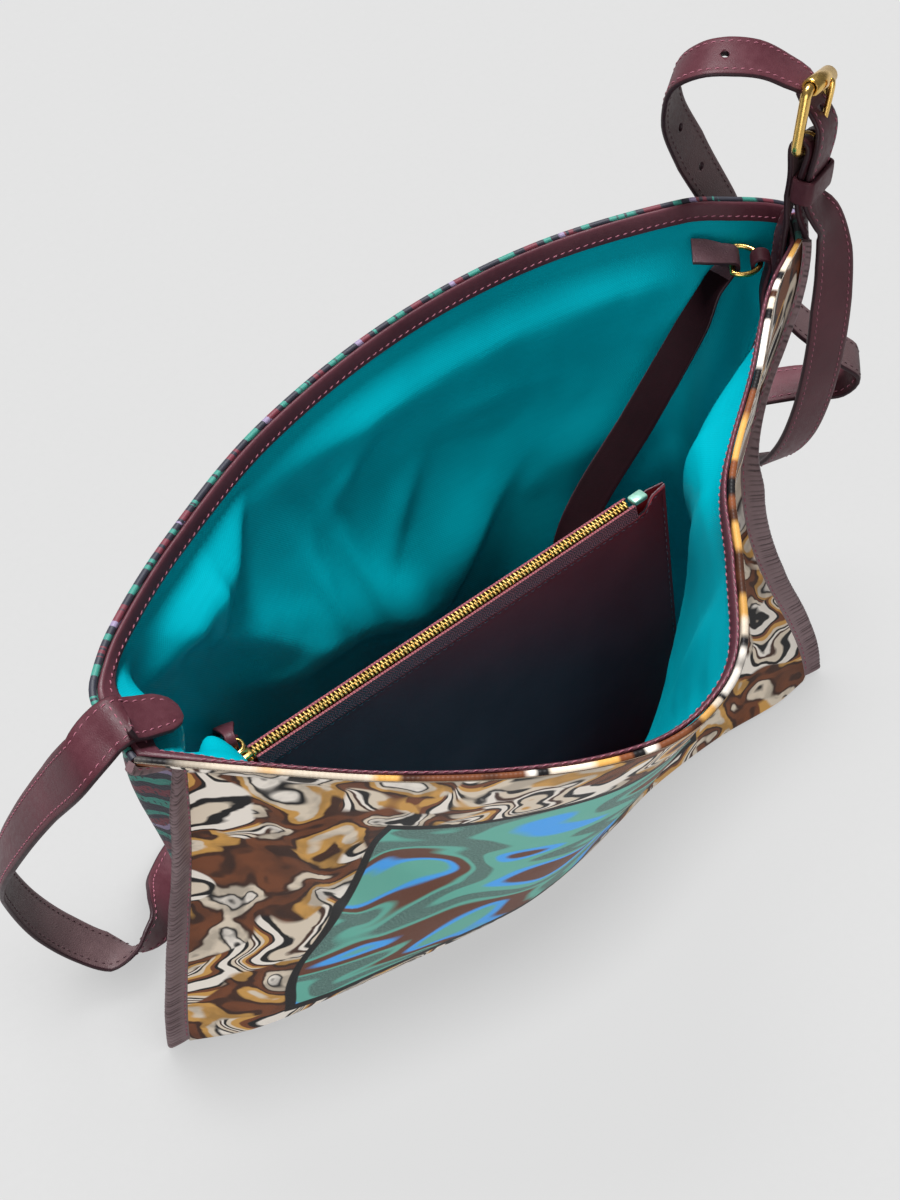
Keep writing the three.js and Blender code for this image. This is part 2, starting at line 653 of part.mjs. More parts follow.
function onShortStrap(height, out) {
  const share = Math.min(1, height / SHORT_STRAP_TWIST);
  const rise = seatRise.clone().normalize();
  const width = seatWidth.clone().lerp(buckleAxis, share);
  width.addScaledVector(rise, -width.dot(rise)).normalize();
  const face = point(0, 0, 0).crossVectors(width, rise);
  const place = seatMiddle.clone().addScaledVector(rise, height).addScaledVector(face, out);
  return { place, width, face, rise };
}

function makeShortStrap() {
  const half = SHORT_STRAP_THICKNESS / 2;
  const innerDepth = rimDepth + LAYER_GAP + half;
  const rows = SHORT_STRAP_LEVELS.map(({ v, clear, wide }) =>
    routeRow(inside("back", BUCKLE_SEAT_U, v, innerDepth + clear), acrossPanel(BUCKLE_SEAT_U, v), wide),
  );
  for (const level of SHORT_STRAP_SPREAD) {
    const { place, width } = onShortStrap(level.height, -level.spread);
    rows.push(routeRow(place, width));
  }
  const turn = WIRE_RADIUS + SEAM_GAP + half;
  for (let angle = -180; angle <= 0; angle += 30) {
    const radians = (angle * Math.PI) / 180;
    rows.push(routeRow(onBuckle(0, -turn * Math.sin(radians), turn * Math.cos(radians)), buckleAxis));
  }
  for (const level of [...SHORT_STRAP_SPREAD].reverse()) {
    const { place, width } = onShortStrap(level.height, level.spread);
    rows.push(routeRow(place, width));
  }
  for (const { v, clear, wide } of [...SHORT_STRAP_LEVELS].reverse()) {
    const place = inside("back", BUCKLE_SEAT_U, v, -LAYER_GAP - half - clear / 2);
    rows.push(routeRow(place, acrossPanel(BUCKLE_SEAT_U, v), wide));
  }
  const slotWidth = 2 * (PRONG_RADIUS + 1.4);
  const slot = new THREE.BoxGeometry(slotWidth, 2 * turn + 6, 2 * turn + 5);
  slot.applyMatrix4(new THREE.Matrix4().makeBasis(buckleAxis, buckleRise, buckleOut));
  slot.translate(...BUCKLE_BAR.toArray());
  const strap = strapMesh(layStrap(rows, STRAP_STEP / 2), STRAP_WIDTH, SHORT_STRAP_THICKNESS);
  addPiece("buckle_strap", fromSolid(toSolid(strap).subtract(toSolid(slot))), "leather");
}

function makeBuckle() {
  const corners = [
    { axis: 1, rise: 0, from: -90 },
    { axis: 1, rise: 1, from: 0 },
    { axis: -1, rise: 1, from: 90 },
    { axis: -1, rise: 0, from: 180 },
  ];
  const path = [];
  for (const corner of corners) {
    for (const turn of [0, 30, 60, 90]) {
      const angle = ((corner.from + turn) * Math.PI) / 180;
      const axis = corner.axis * (BUCKLE_HALF_WIDTH - BUCKLE_CORNER) + BUCKLE_CORNER * Math.cos(angle);
      const middle = corner.rise ? BUCKLE_HEIGHT - BUCKLE_CORNER : BUCKLE_CORNER;
      path.push(onBuckle(axis, middle + BUCKLE_CORNER * Math.sin(angle), 0));
    }
  }
  addPiece("buckle_frame", wireMesh(path, buckleOut, WIRE_RADIUS, 10, true), "brass");

  const bore = WIRE_RADIUS + SEAM_GAP;
  const ends = ROLLER_LENGTH / 2;
  const profile = [
    new THREE.Vector2(bore, -ends),
    new THREE.Vector2(ROLLER_RADIUS, -ends),
    new THREE.Vector2(ROLLER_RADIUS, ends),
    new THREE.Vector2(bore, ends),
    new THREE.Vector2(bore, -ends),
  ];
  const roller = new THREE.LatheGeometry(profile, 16);
  roller.applyMatrix4(new THREE.Matrix4().makeBasis(buckleRise, buckleAxis, buckleOut.clone().negate()));
  roller.translate(...onBuckle(0, BUCKLE_HEIGHT, 0).toArray());
  addPiece("buckle_roller", roller, "brass");
  addPiece("buckle_prong", wireMesh(prongPath(), buckleAxis, PRONG_RADIUS, 8), "brass");
}

// The prong is coiled most of the way round the bar and rests on the roller
function prongPath() {
  const turn = WIRE_RADIUS + SEAM_GAP + 0.2 + PRONG_RADIUS;
  const rest = ROLLER_RADIUS + SEAM_GAP + PRONG_RADIUS;
  const path = [];
  for (let angle = 60; angle <= 330; angle += 30) {
    const radians = (angle * Math.PI) / 180;
    path.push(onBuckle(0, turn * Math.sin(radians), turn * Math.cos(radians)));
  }
  path.push(onBuckle(0, BUCKLE_HEIGHT / 2, mix(turn, rest, 0.5)));
  path.push(onBuckle(0, BUCKLE_HEIGHT, rest));
  path.push(onBuckle(0, BUCKLE_HEIGHT + 2.5, rest - 0.4));
  return path;
}

function makeKeeper() {
  const seat = onShortStrap(KEEPER_LIFT, 0);
  const inner = { low: KEEPER_THICKNESS / 2, high: TAIL_LIFT + STRAP_THICKNESS / 2 + 0.8 };
  const halfWidth = STRAP_WIDTH / 2 + LAYER_GAP + 0.3;
  const frame = (grow) => {
    const shape = new THREE.Shape();
    shape.moveTo(-halfWidth - grow, inner.low - grow);
    shape.lineTo(halfWidth + grow, inner.low - grow);
    shape.lineTo(halfWidth + grow, inner.high + grow);
    shape.lineTo(-halfWidth - grow, inner.high + grow);
    shape.closePath();
    return shape;
  };
  const outline = frame(KEEPER_THICKNESS);
  outline.holes.push(frame(0));
  const band = new THREE.ExtrudeGeometry(outline, { depth: KEEPER_HEIGHT, bevelEnabled: false });
  band.translate(0, 0, -KEEPER_HEIGHT / 2);
  band.applyMatrix4(new THREE.Matrix4().makeBasis(seat.width, seat.face, seat.width.clone().cross(seat.face)));
  band.translate(...seat.place.toArray());
  addPiece("keeper_loop", band, "leather");
}

// The long strap: sewn inside the left corner, over the rim, round behind the bag and through the buckle
function makeStrap() {
  const half = STRAP_THICKNESS / 2;
  const across = acrossPanel(STRAP_SEAT_U, 1);
  const tab = [
    { v: 0.94, wide: 0.3, clear: 0.5 },
    { v: 0.944, wide: 0.62, clear: 0.6 },
    { v: 0.953, wide: 0.88, clear: 0.7 },
    { v: 0.97, wide: 0.97, clear: 0.7 },
    { v: 0.985, wide: 1, clear: 0.8 },
  ];
  const rows = tab.map(({ v, wide, clear }) => {
    const place = inside("back", STRAP_SEAT_U, v, rimDepth + LAYER_GAP + half + clear);
    return routeRow(place, acrossPanel(STRAP_SEAT_U, v), wide);
  });
  const overRim = [
    { depth: rimDepth + 2, lift: 1.4 },
    { depth: rimDepth - 0.8, lift: 2.6 },
    { depth: 0.4, lift: 2.7 },
    { depth: -3, lift: 1.9 },
  ];
  for (const { depth, lift } of overRim) {
    rows.push(routeRow(inside("back", STRAP_SEAT_U, 1, depth).add(point(0, 0, lift)), across));
  }
  rows.push(...STRAP_ROUTE);
  const rest = ROLLER_RADIUS + SEAM_GAP + half;
  rows.push(routeRow(onBuckle(0, BUCKLE_HEIGHT - 1.5, -rest - 1), buckleAxis));
  rows.push(routeRow(onBuckle(0, BUCKLE_HEIGHT - 6.5, -2.2), buckleAxis));
  rows.push(routeRow(onBuckle(0, BUCKLE_HEIGHT - 11, 2.4), buckleAxis));
  rows.push(routeRow(onBuckle(0, BUCKLE_HEIGHT - 15.5, 5.8), buckleAxis));
  rows.push(routeRow(onBuckle(0, 3, 6.6), buckleAxis));
  const tailLifts = [
    { height: KEEPER_LIFT + 8, out: TAIL_LIFT + 0.6 },
    { height: KEEPER_LIFT + 2, out: TAIL_LIFT },
    { height: KEEPER_LIFT - 5, out: TAIL_LIFT + 0.3 },
    { height: KEEPER_LIFT - 11, out: TAIL_LIFT + 2.2 },
  ];
  for (const { height, out } of tailLifts) {
    const { place, width } = onShortStrap(height, out);
    rows.push(routeRow(place, width));
  }
  rows.push(...STRAP_TAIL);
  const places = layStrap(rows, STRAP_STEP);
  let strap = toSolid(strapMesh(places, STRAP_WIDTH, STRAP_THICKNESS));
  const prongPlaces = prongPath().slice(-4);
  const clearance = wireMesh(prongPlaces, buckleAxis, HOLE_RADIUS, 10);
  strap = strap.subtract(toSolid(clearance));
  for (const hole of punchedHoles(places)) {
    strap = strap.subtract(toSolid(hole));
  }
  addPiece("shoulder_strap", fromSolid(strap), "leather");
}

// Holes at even spacing along the strap, beyond the stretch round the roller
function punchedHoles(places) {
  const fastened = onBuckle(0, BUCKLE_HEIGHT - 9, 1);
  let index = 0;
  places.forEach((place, i) => {
    if (place.centre.distanceTo(fastened) < places[index].centre.distanceTo(fastened)) {
      index = i;
    }
  });
  const holes = [];
  let travelled = 0;
  while (holes.length < HOLE_COUNT) {
    const here = places[index];
    const next = places[index - 1];
    const gap = here.centre.distanceTo(next.centre);
    const due = HOLE_START + holes.length * HOLE_SPACING;
    if (travelled + gap >= due) {
      const share = (due - travelled) / gap;
      const face = here.face.clone().lerp(next.face, share).normalize();
      const punch = new THREE.CylinderGeometry(HOLE_RADIUS, HOLE_RADIUS, 3 * STRAP_THICKNESS, 10);
      punch.applyQuaternion(new THREE.Quaternion().setFromUnitVectors(point(0, 1, 0), face));
      punch.translate(...here.centre.clone().lerp(next.centre, share).toArray());
      holes.push(punch);
    }
    travelled += gap;
    index -= 1;
  }
  return holes;
}

// Middle sheet of the pouch at a share of its width and height, moved out towards the front
function onPouch(share, rise, out) {
  const bottom = POUCH.bottomLeft.clone().lerp(POUCH.bottomRight, share);
  const top = POUCH.topLeft.clone().lerp(POUCH.topRight, share);
  const along = POUCH.topRight.clone().sub(POUCH.topLeft).normalize();
  const up = top.clone().sub(bottom).normalize();
  const front = point(0, 0, 0).crossVectors(along, up).normalize();
  return bottom.lerp(top, rise).addScaledVector(front, out);
}

function pouchSwell(share, rise) {
  const open = Math.max(0, (rise - 0.55) / (POUCH_TOP - 0.55));
  const belly = POUCH_SWELL * Math.sqrt(Math.sin(Math.PI * share)) * Math.sin(Math.PI * Math.min(rise / POUCH_TOP, 1));
  return POUCH_SEAM + belly + ZIP_HALF_WIDTH * open * open * Math.min(1, 12 * share, 12 * (1 - share));
}

// Height of the leather's upper edge: below the zip's tape, and up to the corner beyond the zip
function pouchTop(share) {
  return share > POUCH_SHARES.at(-3) ? POUCH_END_TOP : POUCH_TOP;
}

function makePouch() {
  const rows = 7;
  for (const [name, sign] of [["pouch_front", 1], ["pouch_back", -1]]) {
    const grid = (extra) =>
      Array.from({ length: rows + 1 }, (_, r) =>
        POUCH_SHARES.map((share) => {
          const rise = (pouchTop(share) * r) / rows;
          return onPouch(share, rise, sign * (pouchSwell(share, rise) + extra));
        }),
      );
    addPiece(name, wallMesh(grid(POUCH_LEATHER), grid(0)), "pouch");
  }
  const lift = 0.004;
  for (const [name, sign] of [["zip_tape_front", 1], ["zip_tape_back", -1]]) {
    const tapeGrid = (extra) =>
      [POUCH_TOP + lift, 0.965, 0.995].map((rise) =>
        Array.from({ length: 9 }, (_, c) =>
          onPouch(mix(ZIP_START, ZIP_END, c / 8), rise, sign * (ZIP_HALF_WIDTH + LAYER_GAP + extra)),
        ),
      );
    addPiece(name, wallMesh(tapeGrid(TAPE_THICKNESS), tapeGrid(0)), "tape");
  }
  makeZipChain();
}

// Two rows of teeth on one strip, their tips stepping from side to side
function makeZipChain() {
  const start = onPouch(ZIP_START, 0.985, 0);
  const end = onPouch(ZIP_END, 0.985, 0);
  const along = end.clone().sub(start);
  const length = along.length();
  along.normalize();
  const across = onPouch(0.5, 1, 1).sub(onPouch(0.5, 1, 0));
  const up = point(0, 0, 0).crossVectors(across, along).normalize();
  const count = Math.floor(length / TOOTH_PITCH);
  const root = ZIP_HALF_WIDTH - 1;
  const outline = new THREE.Shape();
  outline.moveTo(0, -root);
  for (let i = 0; i < count; i += 1) {
    const x = i * TOOTH_PITCH;
    outline.lineTo(x + 1.3, -root);
    outline.lineTo(x + 1.6, -ZIP_HALF_WIDTH);
    outline.lineTo(x + 3.6, -ZIP_HALF_WIDTH);
    outline.lineTo(x + 3.9, -root);
  }
  outline.lineTo(length, -root);
  outline.lineTo(length, root);
  for (let i = count - 1; i >= 0; i -= 1) {
    const x = i * TOOTH_PITCH;
    outline.lineTo(x + 3.9, root);
    outline.lineTo(x + 3.6, ZIP_HALF_WIDTH);
    outline.lineTo(x + 1.6, ZIP_HALF_WIDTH);
    outline.lineTo(x + 1.3, root);
  }
  outline.lineTo(0, root);
  const chain = new THREE.ExtrudeGeometry(outline, { depth: CHAIN_HEIGHT, bevelEnabled: false });
  chain.applyMatrix4(new THREE.Matrix4().makeBasis(along, up.clone().cross(along), up));
  chain.translate(...start.toArray());
  addPiece("zip_chain", chain, "brass");
  makeZipEnds(start, end, along, up);
}

function orientedBox(size, along, up, middle) {
  const box = new THREE.BoxGeometry(size.long, size.wide, size.high);
  box.applyMatrix4(new THREE.Matrix4().makeBasis(along, up.clone().cross(along), up));
  box.translate(...middle.toArray());
  return box;
}

function makeZipEnds(start, end, along, up) {
  const across = up.clone().cross(along);
  const slider = { long: 9, wide: 5, high: 4.4 };
  const sliderMiddle = start.clone().addScaledVector(along, -slider.long / 2 - SEAM_GAP).addScaledVector(up, 1.2);
  addPiece("zip_slider", orientedBox(slider, along, up, sliderMiddle), "brass");

  const stop = { long: 7, wide: 5, high: CHAIN_HEIGHT };
  const stopMiddle = end.clone().addScaledVector(along, stop.long / 2 + SEAM_GAP).addScaledVector(up, 1.1);
  addPiece("zip_end", orientedBox(stop, along, up, stopMiddle), "stop");

  const ringRadius = 3.6;
  const ringWire = 0.8;
  const ringMiddle = sliderMiddle
    .clone()
    .addScaledVector(up, slider.high / 2 + SEAM_GAP + ringWire)
    .addScaledVector(across, ringRadius + 0.4);
  const ring = Array.from({ length: 14 }, (_, k) => {
    const angle = (2 * Math.PI * k) / 14;
    return ringMiddle
      .clone()
      .addScaledVector(along, ringRadius * Math.cos(angle))
      .addScaledVector(across, ringRadius * Math.sin(angle));
  });
  addPiece("zip_ring", wireMesh(ring, up, ringWire, 6, true), "brass");

  const reach = ringWire + SEAM_GAP + 2;
  const way = across.clone().addScaledVector(along, 0.3).normalize();
  const fold = ringMiddle.clone().addScaledVector(way, ringRadius);
  const side = point(0, 0, 0).crossVectors(way, up);
  const pullRow = (out, rise, wide = 1) =>
    routeRow(fold.clone().addScaledVector(way, out).addScaledVector(up, rise), side, wide);
  const pull = [
    pullRow(9, -11),
    pullRow(5, -5),
    pullRow(0, -reach, PULL_NECK),
    pullRow(-reach * 0.75, -reach * 0.7, PULL_NECK),
    pullRow(-reach, 0, PULL_NECK),
    pullRow(-reach * 0.75, reach * 0.7, PULL_NECK),
    pullRow(0, reach, PULL_NECK),
    pullRow(7, 0.2),
    pullRow(12.5, -8.5),
  ];
  addPiece("zip_pull", strapMesh(layStrap(pull, 4), PULL_WIDTH, 2), "leather");
}

function makeTether() {
  const reach = RING_REACH.clone();
  const straight = point(-reach.y, reach.x, 0);
  const rise = point(0, 0, 1);
  const onRing = (out, side, up) =>
    RING_PLACE.clone().addScaledVector(reach, out).addScaledVector(straight, side).addScaledVector(rise, up);
  const path = [onRing(0, 0, 0)];
  for (let step = 5; step >= -5; step -= 1) {
    const radians = (step * RING_ARC * Math.PI) / 900;
    path.push(onRing(RING_CENTRE + RING_RADIUS * Math.cos(radians), RING_RADIUS * Math.sin(radians), 0));
  }
  addPiece("tether_ring", wireMesh(path, rise, RING_WIRE, 8, true), "brass");

  const fold = TETHER_FOLD;
  const middle = fold - TETHER_THICKNESS / 2 - RING_WIRE - SEAM_GAP;
  const onFold = (out, up, wide = TETHER_NECK) => routeRow(onRing(out - middle, 0, up), straight, wide);
  const rows = [onFold(-15, fold + 1.4, 1), onFold(-9, fold + 1.1, 1), onFold(-3, fold, 0.84)];
  for (const angle of [60, 25, -10, -45, -80]) {
    const radians = (angle * Math.PI) / 180;
    rows.push(onFold(fold * Math.cos(radians), fold * Math.sin(radians)));
  }
  rows.push(...TETHER_ROUTE);
  const backFace = (rise2) =>
    -pouchSwell(TETHER_END.share, rise2) - POUCH_LEATHER - SEAM_GAP - TETHER_THICKNESS / 2;
  const along = point(0.7, 0, -0.7);
  const seat = onPouch(TETHER_END.share, TETHER_END.rise, backFace(TETHER_END.rise));
  rows.push(routeRow(seat, along));
  addPiece("tether", strapMesh(layStrap(rows, STRAP_STEP), TETHER_WIDTH, TETHER_THICKNESS), "leather");

  const tabFold = RING_WIRE + SEAM_GAP + 1.8;
  const ringEnd = RING_CENTRE + RING_RADIUS;
  const tabRow = (out, up) => routeRow(onRing(ringEnd + out, 0, up), straight);
  const tab = [
    routeRow(inside("back", RING_TAB_U, 0.8, rimDepth), acrossPanel(RING_TAB_U, 0.8)),
    routeRow(inside("back", RING_TAB_U, 0.84, rimDepth + 0.6), acrossPanel(RING_TAB_U, 0.84)),
    routeRow(inside("back", RING_TAB_U, 0.885, rimDepth + 5.4), straight),
    tabRow(tabFold, 0),
    tabRow(tabFold * 0.7, tabFold * 0.7),
    tabRow(0, tabFold),
    tabRow(-tabFold * 0.7, tabFold * 0.7),
    tabRow(-tabFold, 0),
    tabRow(-tabFold * 0.8, -tabFold),
  ];
  addPiece("ring_tab", strapMesh(layStrap(tab, 4), RING_TAB_WIDTH, 1.6), "leather");
}

makePanel("front_panel", "front", "print");
makePanel("back_panel", "back", "stripe");
makeLining();
makeFacing();
makeBinding("binding_left", "left");
makeBinding("binding_right", "right");
makeStrap();
makeShortStrap();
makeBuckle();
makeKeeper();
makePouch();
makeTether();

export default bag;
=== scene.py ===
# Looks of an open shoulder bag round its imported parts. Metres, +Z up, the front faces -Y.
import math

import bmesh
import bpy
import numpy as np
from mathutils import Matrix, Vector, noise


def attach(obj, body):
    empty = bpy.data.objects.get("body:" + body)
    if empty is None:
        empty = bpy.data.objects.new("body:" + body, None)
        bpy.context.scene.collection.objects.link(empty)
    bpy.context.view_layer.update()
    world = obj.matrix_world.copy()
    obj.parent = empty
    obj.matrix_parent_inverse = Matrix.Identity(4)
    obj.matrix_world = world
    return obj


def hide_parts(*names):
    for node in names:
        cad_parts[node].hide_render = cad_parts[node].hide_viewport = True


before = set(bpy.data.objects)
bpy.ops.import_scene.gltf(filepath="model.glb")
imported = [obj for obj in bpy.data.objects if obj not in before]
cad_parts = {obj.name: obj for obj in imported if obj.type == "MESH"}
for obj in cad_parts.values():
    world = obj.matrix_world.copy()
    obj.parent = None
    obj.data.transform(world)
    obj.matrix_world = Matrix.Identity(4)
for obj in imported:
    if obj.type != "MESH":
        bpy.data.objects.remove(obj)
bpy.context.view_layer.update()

# Bag body
BASE_LENGTH = 0.320
FOOT_RADIUS = 0.009
PANEL_LENGTH = 0.400
PANEL_HEIGHT = 0.206
PANEL_THICKNESS = 0.0012
LINING_DEPTH = 0.0017
LINING_THICKNESS = 0.0010
LINING_TOP = 0.972
OUTWARD_LIMIT = 0.0003
SEAM_GAP = 0.0004
LAYER_GAP = 0.0005
RIM_DEPTH = 0.0044
FACING_FOOT = 0.957
HEM_DEPTH = 0.0026
HEM_FOOT = (0.974, 0.983)
HEM_ROLL = (35, 70, 110, 145)
HEM_RISE = 0.7
HEM_PRINT = {"front": 0.4, "back": 1.0}
RIM_SPREAD = 1.36
RIM_STITCH_PLACES = [(0.9735, 0.0049), (0.9735, 0.0060), (0.9990, 0.0038)]
SEAM_STEP = 0.03
LEVEL_STEP = 0.02
SEAM_FADE = 0.02
GROUND_FADE = 6
TOP_FADE = 12
LINING_RUMPLE = [(0.030, 0.0016, 1.0), (0.012, 0.0005, 5.0)]
BINDING_RUMPLE = (0.018, 0.0006, 9.0)
BINDING_TAPER = {"left": (0.8, 0.95), "right": (0.6, 0.78)}
BINDING_NARROW = 0.35
BINDING_FOOT = 0.012
BINDING_LAP = 0.0022
BINDING_WIDTH = 0.008
BINDING_THICKNESS = 0.0032
RIB_PITCH = 0.0021
RIB_WIDTH = 0.00045
RIB_HEIGHT = 0.00035

# Mesh steps
FOOT_LEVELS = 11
RIM_LEVELS = 14
RIM_ZONE = 0.95
PANEL_COLUMNS = 170
PANEL_ROWS = 54
BASE_ROWS = 6
LINING_COLUMNS = 200
LINING_ROWS = 78
FACING_COLUMNS = 190
BINDING_ROWS = 900
POUCH_GRID = (150, 70)
TAPE_GRID = (60, 8)

# Straps and buckle
STRAP_WIDTH = 0.020
STRAP_THICKNESS = 0.0025
SHORT_STRAP_THICKNESS = 0.0020
SHORT_STRAP_PUFF = 0.0026
STRAP_STEP = 0.0025
SHORT_STRAP_STEP = 0.0018
SEAT_STEP = 0.02
STRAP_SEAT_U = 0.032
BUCKLE_SEAT_U = 0.9715
BUCKLE_BAR = np.array([0.185, 0.076, 0.238])
BUCKLE_RISE = np.array([0.27, 0.23, 0.935])
BUCKLE_AXIS = np.array([0.833, 0.396, -0.384])
BUCKLE_HEIGHT = 0.025
BUCKLE_HALF_WIDTH = 0.0132
BUCKLE_CORNER = 0.0030
WIRE_RADIUS = 0.0021
ROLLER_RADIUS = 0.0036
ROLLER_LENGTH = 0.020
ROLLER_EDGE = 0.0004
ROLLER_LIP = 0.0002
PRONG_RADIUS = 0.0012
PRONG_PLAY = 0.0002
PRONG_TIP = 0.0025
PRONG_DROP = 0.0004
PRONG_HOLE = (0.009, 0.001)
PRONG_HOLE_SHARE = 0.35
PRONG_HOLE_LENGTH = 0.012
SLOT_MARGIN = (0.0014, 0.003, 0.0025)
HOLE_RADIUS = 0.0017
HOLE_START = 0.0435
HOLE_SPACING = 0.026
HOLE_COUNT = 4
KEEPER_HEIGHT = 0.010
KEEPER_THICKNESS = 0.0014
KEEPER_CORNER = 0.0016
KEEPER_SIDE_ROOM = 0.0003
KEEPER_TOP_ROOM = 0.0008
KEEPER_EDGE = [(0.55, 1.02), (0.9, 0.97), (1, 0.8), (1.06, 0.4)]
KEEPER_LIFT = 0.022
TAIL_LIFT = 0.0052
SHORT_STRAP_TWIST = 0.015

# Sewing
STITCH_LENGTH = 0.0022
STITCH_PITCH = 0.0033
STITCH_RADIUS = 0.00026
STITCH_INSET = 0.0028
STITCH_LEVEL = 0.43
STITCH_AHEAD = 0.0005
STITCH_SIDES = 6
STITCH_RINGS = 5
BAR_STITCH_LEVEL = 0.46
BAR_STITCH_REACH = 0.4
BAR_STITCH_POINTS = 9
POUCH_STITCH_LEVEL = 0.78
POUCH_STITCH_DROP = 0.012
POUCH_STITCH_TOP = (0.012, 0.985)
POUCH_STITCH_SIDES = (0.989, 0.011)
BINDING_STITCH_LEVEL = 0.92

# Pouch and its zip
POUCH_WIDTH = 0.205
POUCH_HEIGHT = 0.146
POUCH_LEATHER = 0.0012
POUCH_LIP = 0.0007
POUCH_GROOVE = 0.0019
POUCH_SEAM = 0.0002
POUCH_SWELL = 0.0035
POUCH_FLARE = 0.55
POUCH_TOP = 0.955
POUCH_END_TOP = 0.985
ZIP_HALF_WIDTH = 0.0026
ZIP_START = 0.03
ZIP_END = 0.915
ZIP_LEVEL = 0.985
TAPE_THICKNESS = 0.0010
TAPE_SLOPE = 0.0012
TAPE_LEVELS = (POUCH_TOP + 0.004, 0.995)
TOOTH_PITCH = 0.00178
CHAIN_HEIGHT = 0.0022
TOOTH_SIZE = (0.0026, 0.00118, CHAIN_HEIGHT)
TOOTH_CORNER = 0.00030
TOOTH_TAPER = 0.72
TOOTH_OFFSET = 0.00075
SLIDER_LENGTH = 0.009
SLIDER_HEIGHT = 0.0044
SLIDER_LIFT = 0.0012
SLIDER_PLATE = (SLIDER_LENGTH, 0.0062, 0.0013)
SLIDER_CORNER = 0.0005
SLIDER_TAPER = 0.75
SLIDER_PLATE_LIFT = 0.0015
SLIDER_NECK = (0.004, 0.0024, 0.0040)
SLIDER_NECK_SHIFT = 0.0015
SLIDER_BRIDGE = [(-0.003, 0.0020), (-0.0022, 0.0030), (0.0, 0.0033), (0.0022, 0.0030), (0.003, 0.0020)]
SLIDER_BRIDGE_RADIUS = 0.0007
ZIP_RING_RADIUS = 0.0036
ZIP_RING_WIRE = 0.0008
ZIP_RING_ROOM = 0.0004
ZIP_STOP = (0.007, 0.005, CHAIN_HEIGHT)
ZIP_STOP_CORNER = 0.0006
PULL_WIDTH = 0.0080
PULL_THICKNESS = 0.0020
PULL_NECK = 0.5
PULL_FOLD = 0.002
PULL_TURN = 0.3
PULL_STEP = 0.0009

# Tether and ring
TETHER_WIDTH = 0.014
TETHER_THICKNESS = 0.0018
TETHER_FOLD = 0.0034
TETHER_END = (0.7, 0.72)
TETHER_END_WIDTH = (0.7, 0.0, -0.7)
TETHER_NECK = 0.78
RING_WIRE = 0.0011
RING_RADIUS = 0.008
RING_CENTRE = 0.0034
RING_ARC = math.radians(115)
RING_TAB_U = 0.975
RING_TAB_WIDTH = 0.0072
RING_TAB_THICKNESS = 0.0016
RING_TAB_ROOM = 0.0018
RING_TAB_STEP = 0.001
RING_TAB_TURN = ((1, 0), (0.7, 0.7), (0, 1), (-0.7, 0.7), (-1, 0), (-0.8, -1))
RING_BAR = (-0.66, -0.33, 0.0, 0.33, 0.66)
RING_PLACE = np.array([0.1537, 0.0768, 0.193])
RING_REACH = np.array([0.827, -0.562, 0.0])
RING_SIDE = np.array([0.562, 0.827, 0.0])

# The mouth, a row for each section: place along the rim from the left seam, rim point, depth of the base
RIM_COLUMNS = ("u", "x", "y", "z", "foot")
RIM_ROWS = {
    "front": [
        (0.000, -0.162, -0.007, 0.206, 0.0000),
        (0.083, -0.134, -0.029, 0.204, 0.0135),
        (0.200, -0.092, -0.059, 0.200, 0.0195),
        (0.330, -0.046, -0.084, 0.197, 0.0235),
        (0.410, -0.012, -0.094, 0.195, 0.0255),
        (0.460, 0.011, -0.093, 0.196, 0.0260),
        (0.530, 0.035, -0.081, 0.198, 0.0235),
        (0.620, 0.059, -0.049, 0.200, 0.0175),
        (0.710, 0.080, -0.018, 0.201, 0.0100),
        (0.830, 0.119, 0.016, 0.204, 0.0050),
        (0.930, 0.149, 0.044, 0.206, 0.0050),
        (1.000, 0.174, 0.060, 0.206, 0.0000),
    ],
    "back": [
        (0.000, -0.162, -0.007, 0.206, 0.0000),
        (0.036, -0.162, 0.009, 0.207, 0.0050),
        (0.061, -0.162, 0.020, 0.208, 0.0080),
        (0.080, -0.158, 0.028, 0.2085, 0.0100),
        (0.133, -0.142, 0.044, 0.208, 0.0140),
        (0.231, -0.106, 0.069, 0.206, 0.0190),
        (0.373, -0.050, 0.098, 0.204, 0.0230),
        (0.533, 0.019, 0.116, 0.204, 0.0240),
        (0.681, 0.085, 0.118, 0.205, 0.0215),
        (0.825, 0.147, 0.103, 0.208, 0.0160),
        (0.877, 0.168, 0.093, 0.206, 0.0135),
        (0.915, 0.184, 0.088, 0.200, 0.0115),
        (0.931, 0.189, 0.084, 0.198, 0.0100),
        (0.946, 0.1873, 0.0787, 0.199, 0.0085),
        (1.000, 0.174, 0.060, 0.206, 0.0000),
    ],
}

PULL_FULLNESS = 0.75

# How far each side seam is drawn in: seam, dx, dy, share of height, reach along the panel
SEAM_PULL = [(0.0, 0.017, 0.0, 0.93, 0.12), (1.0, -0.044, -0.014, 0.64, 0.14)]

# Soft dents: side, u, v, spread along, spread up, dx, dy
PANEL_DENTS = [
    ("back", 0.045, 0.935, 0.045, 0.05, 0.009, 0.0),
    ("back", 0.09, 0.72, 0.045, 0.22, -0.011, 0.002),
    ("back", 0.3, 0.6, 0.1, 0.25, 0.003, -0.006),
    ("front", 0.27, 0.55, 0.1, 0.25, 0.002, 0.005),
    ("front", 0.78, 0.5, 0.09, 0.25, -0.003, 0.003),
]
LINING_FOLDS = [
    ("front", 0.035, 0.87, 0.04, 0.09, 0.005, 0.020),
    ("front", 0.83, 0.82, 0.10, 0.14, -0.015, 0.009),
    ("back", 0.16, 0.55, 0.04, 0.25, 0.005, -0.005),
    ("back", 0.27, 0.45, 0.035, 0.22, 0.003, -0.005),
    ("back", 0.45, 0.5, 0.04, 0.25, 0.0, -0.005),
]

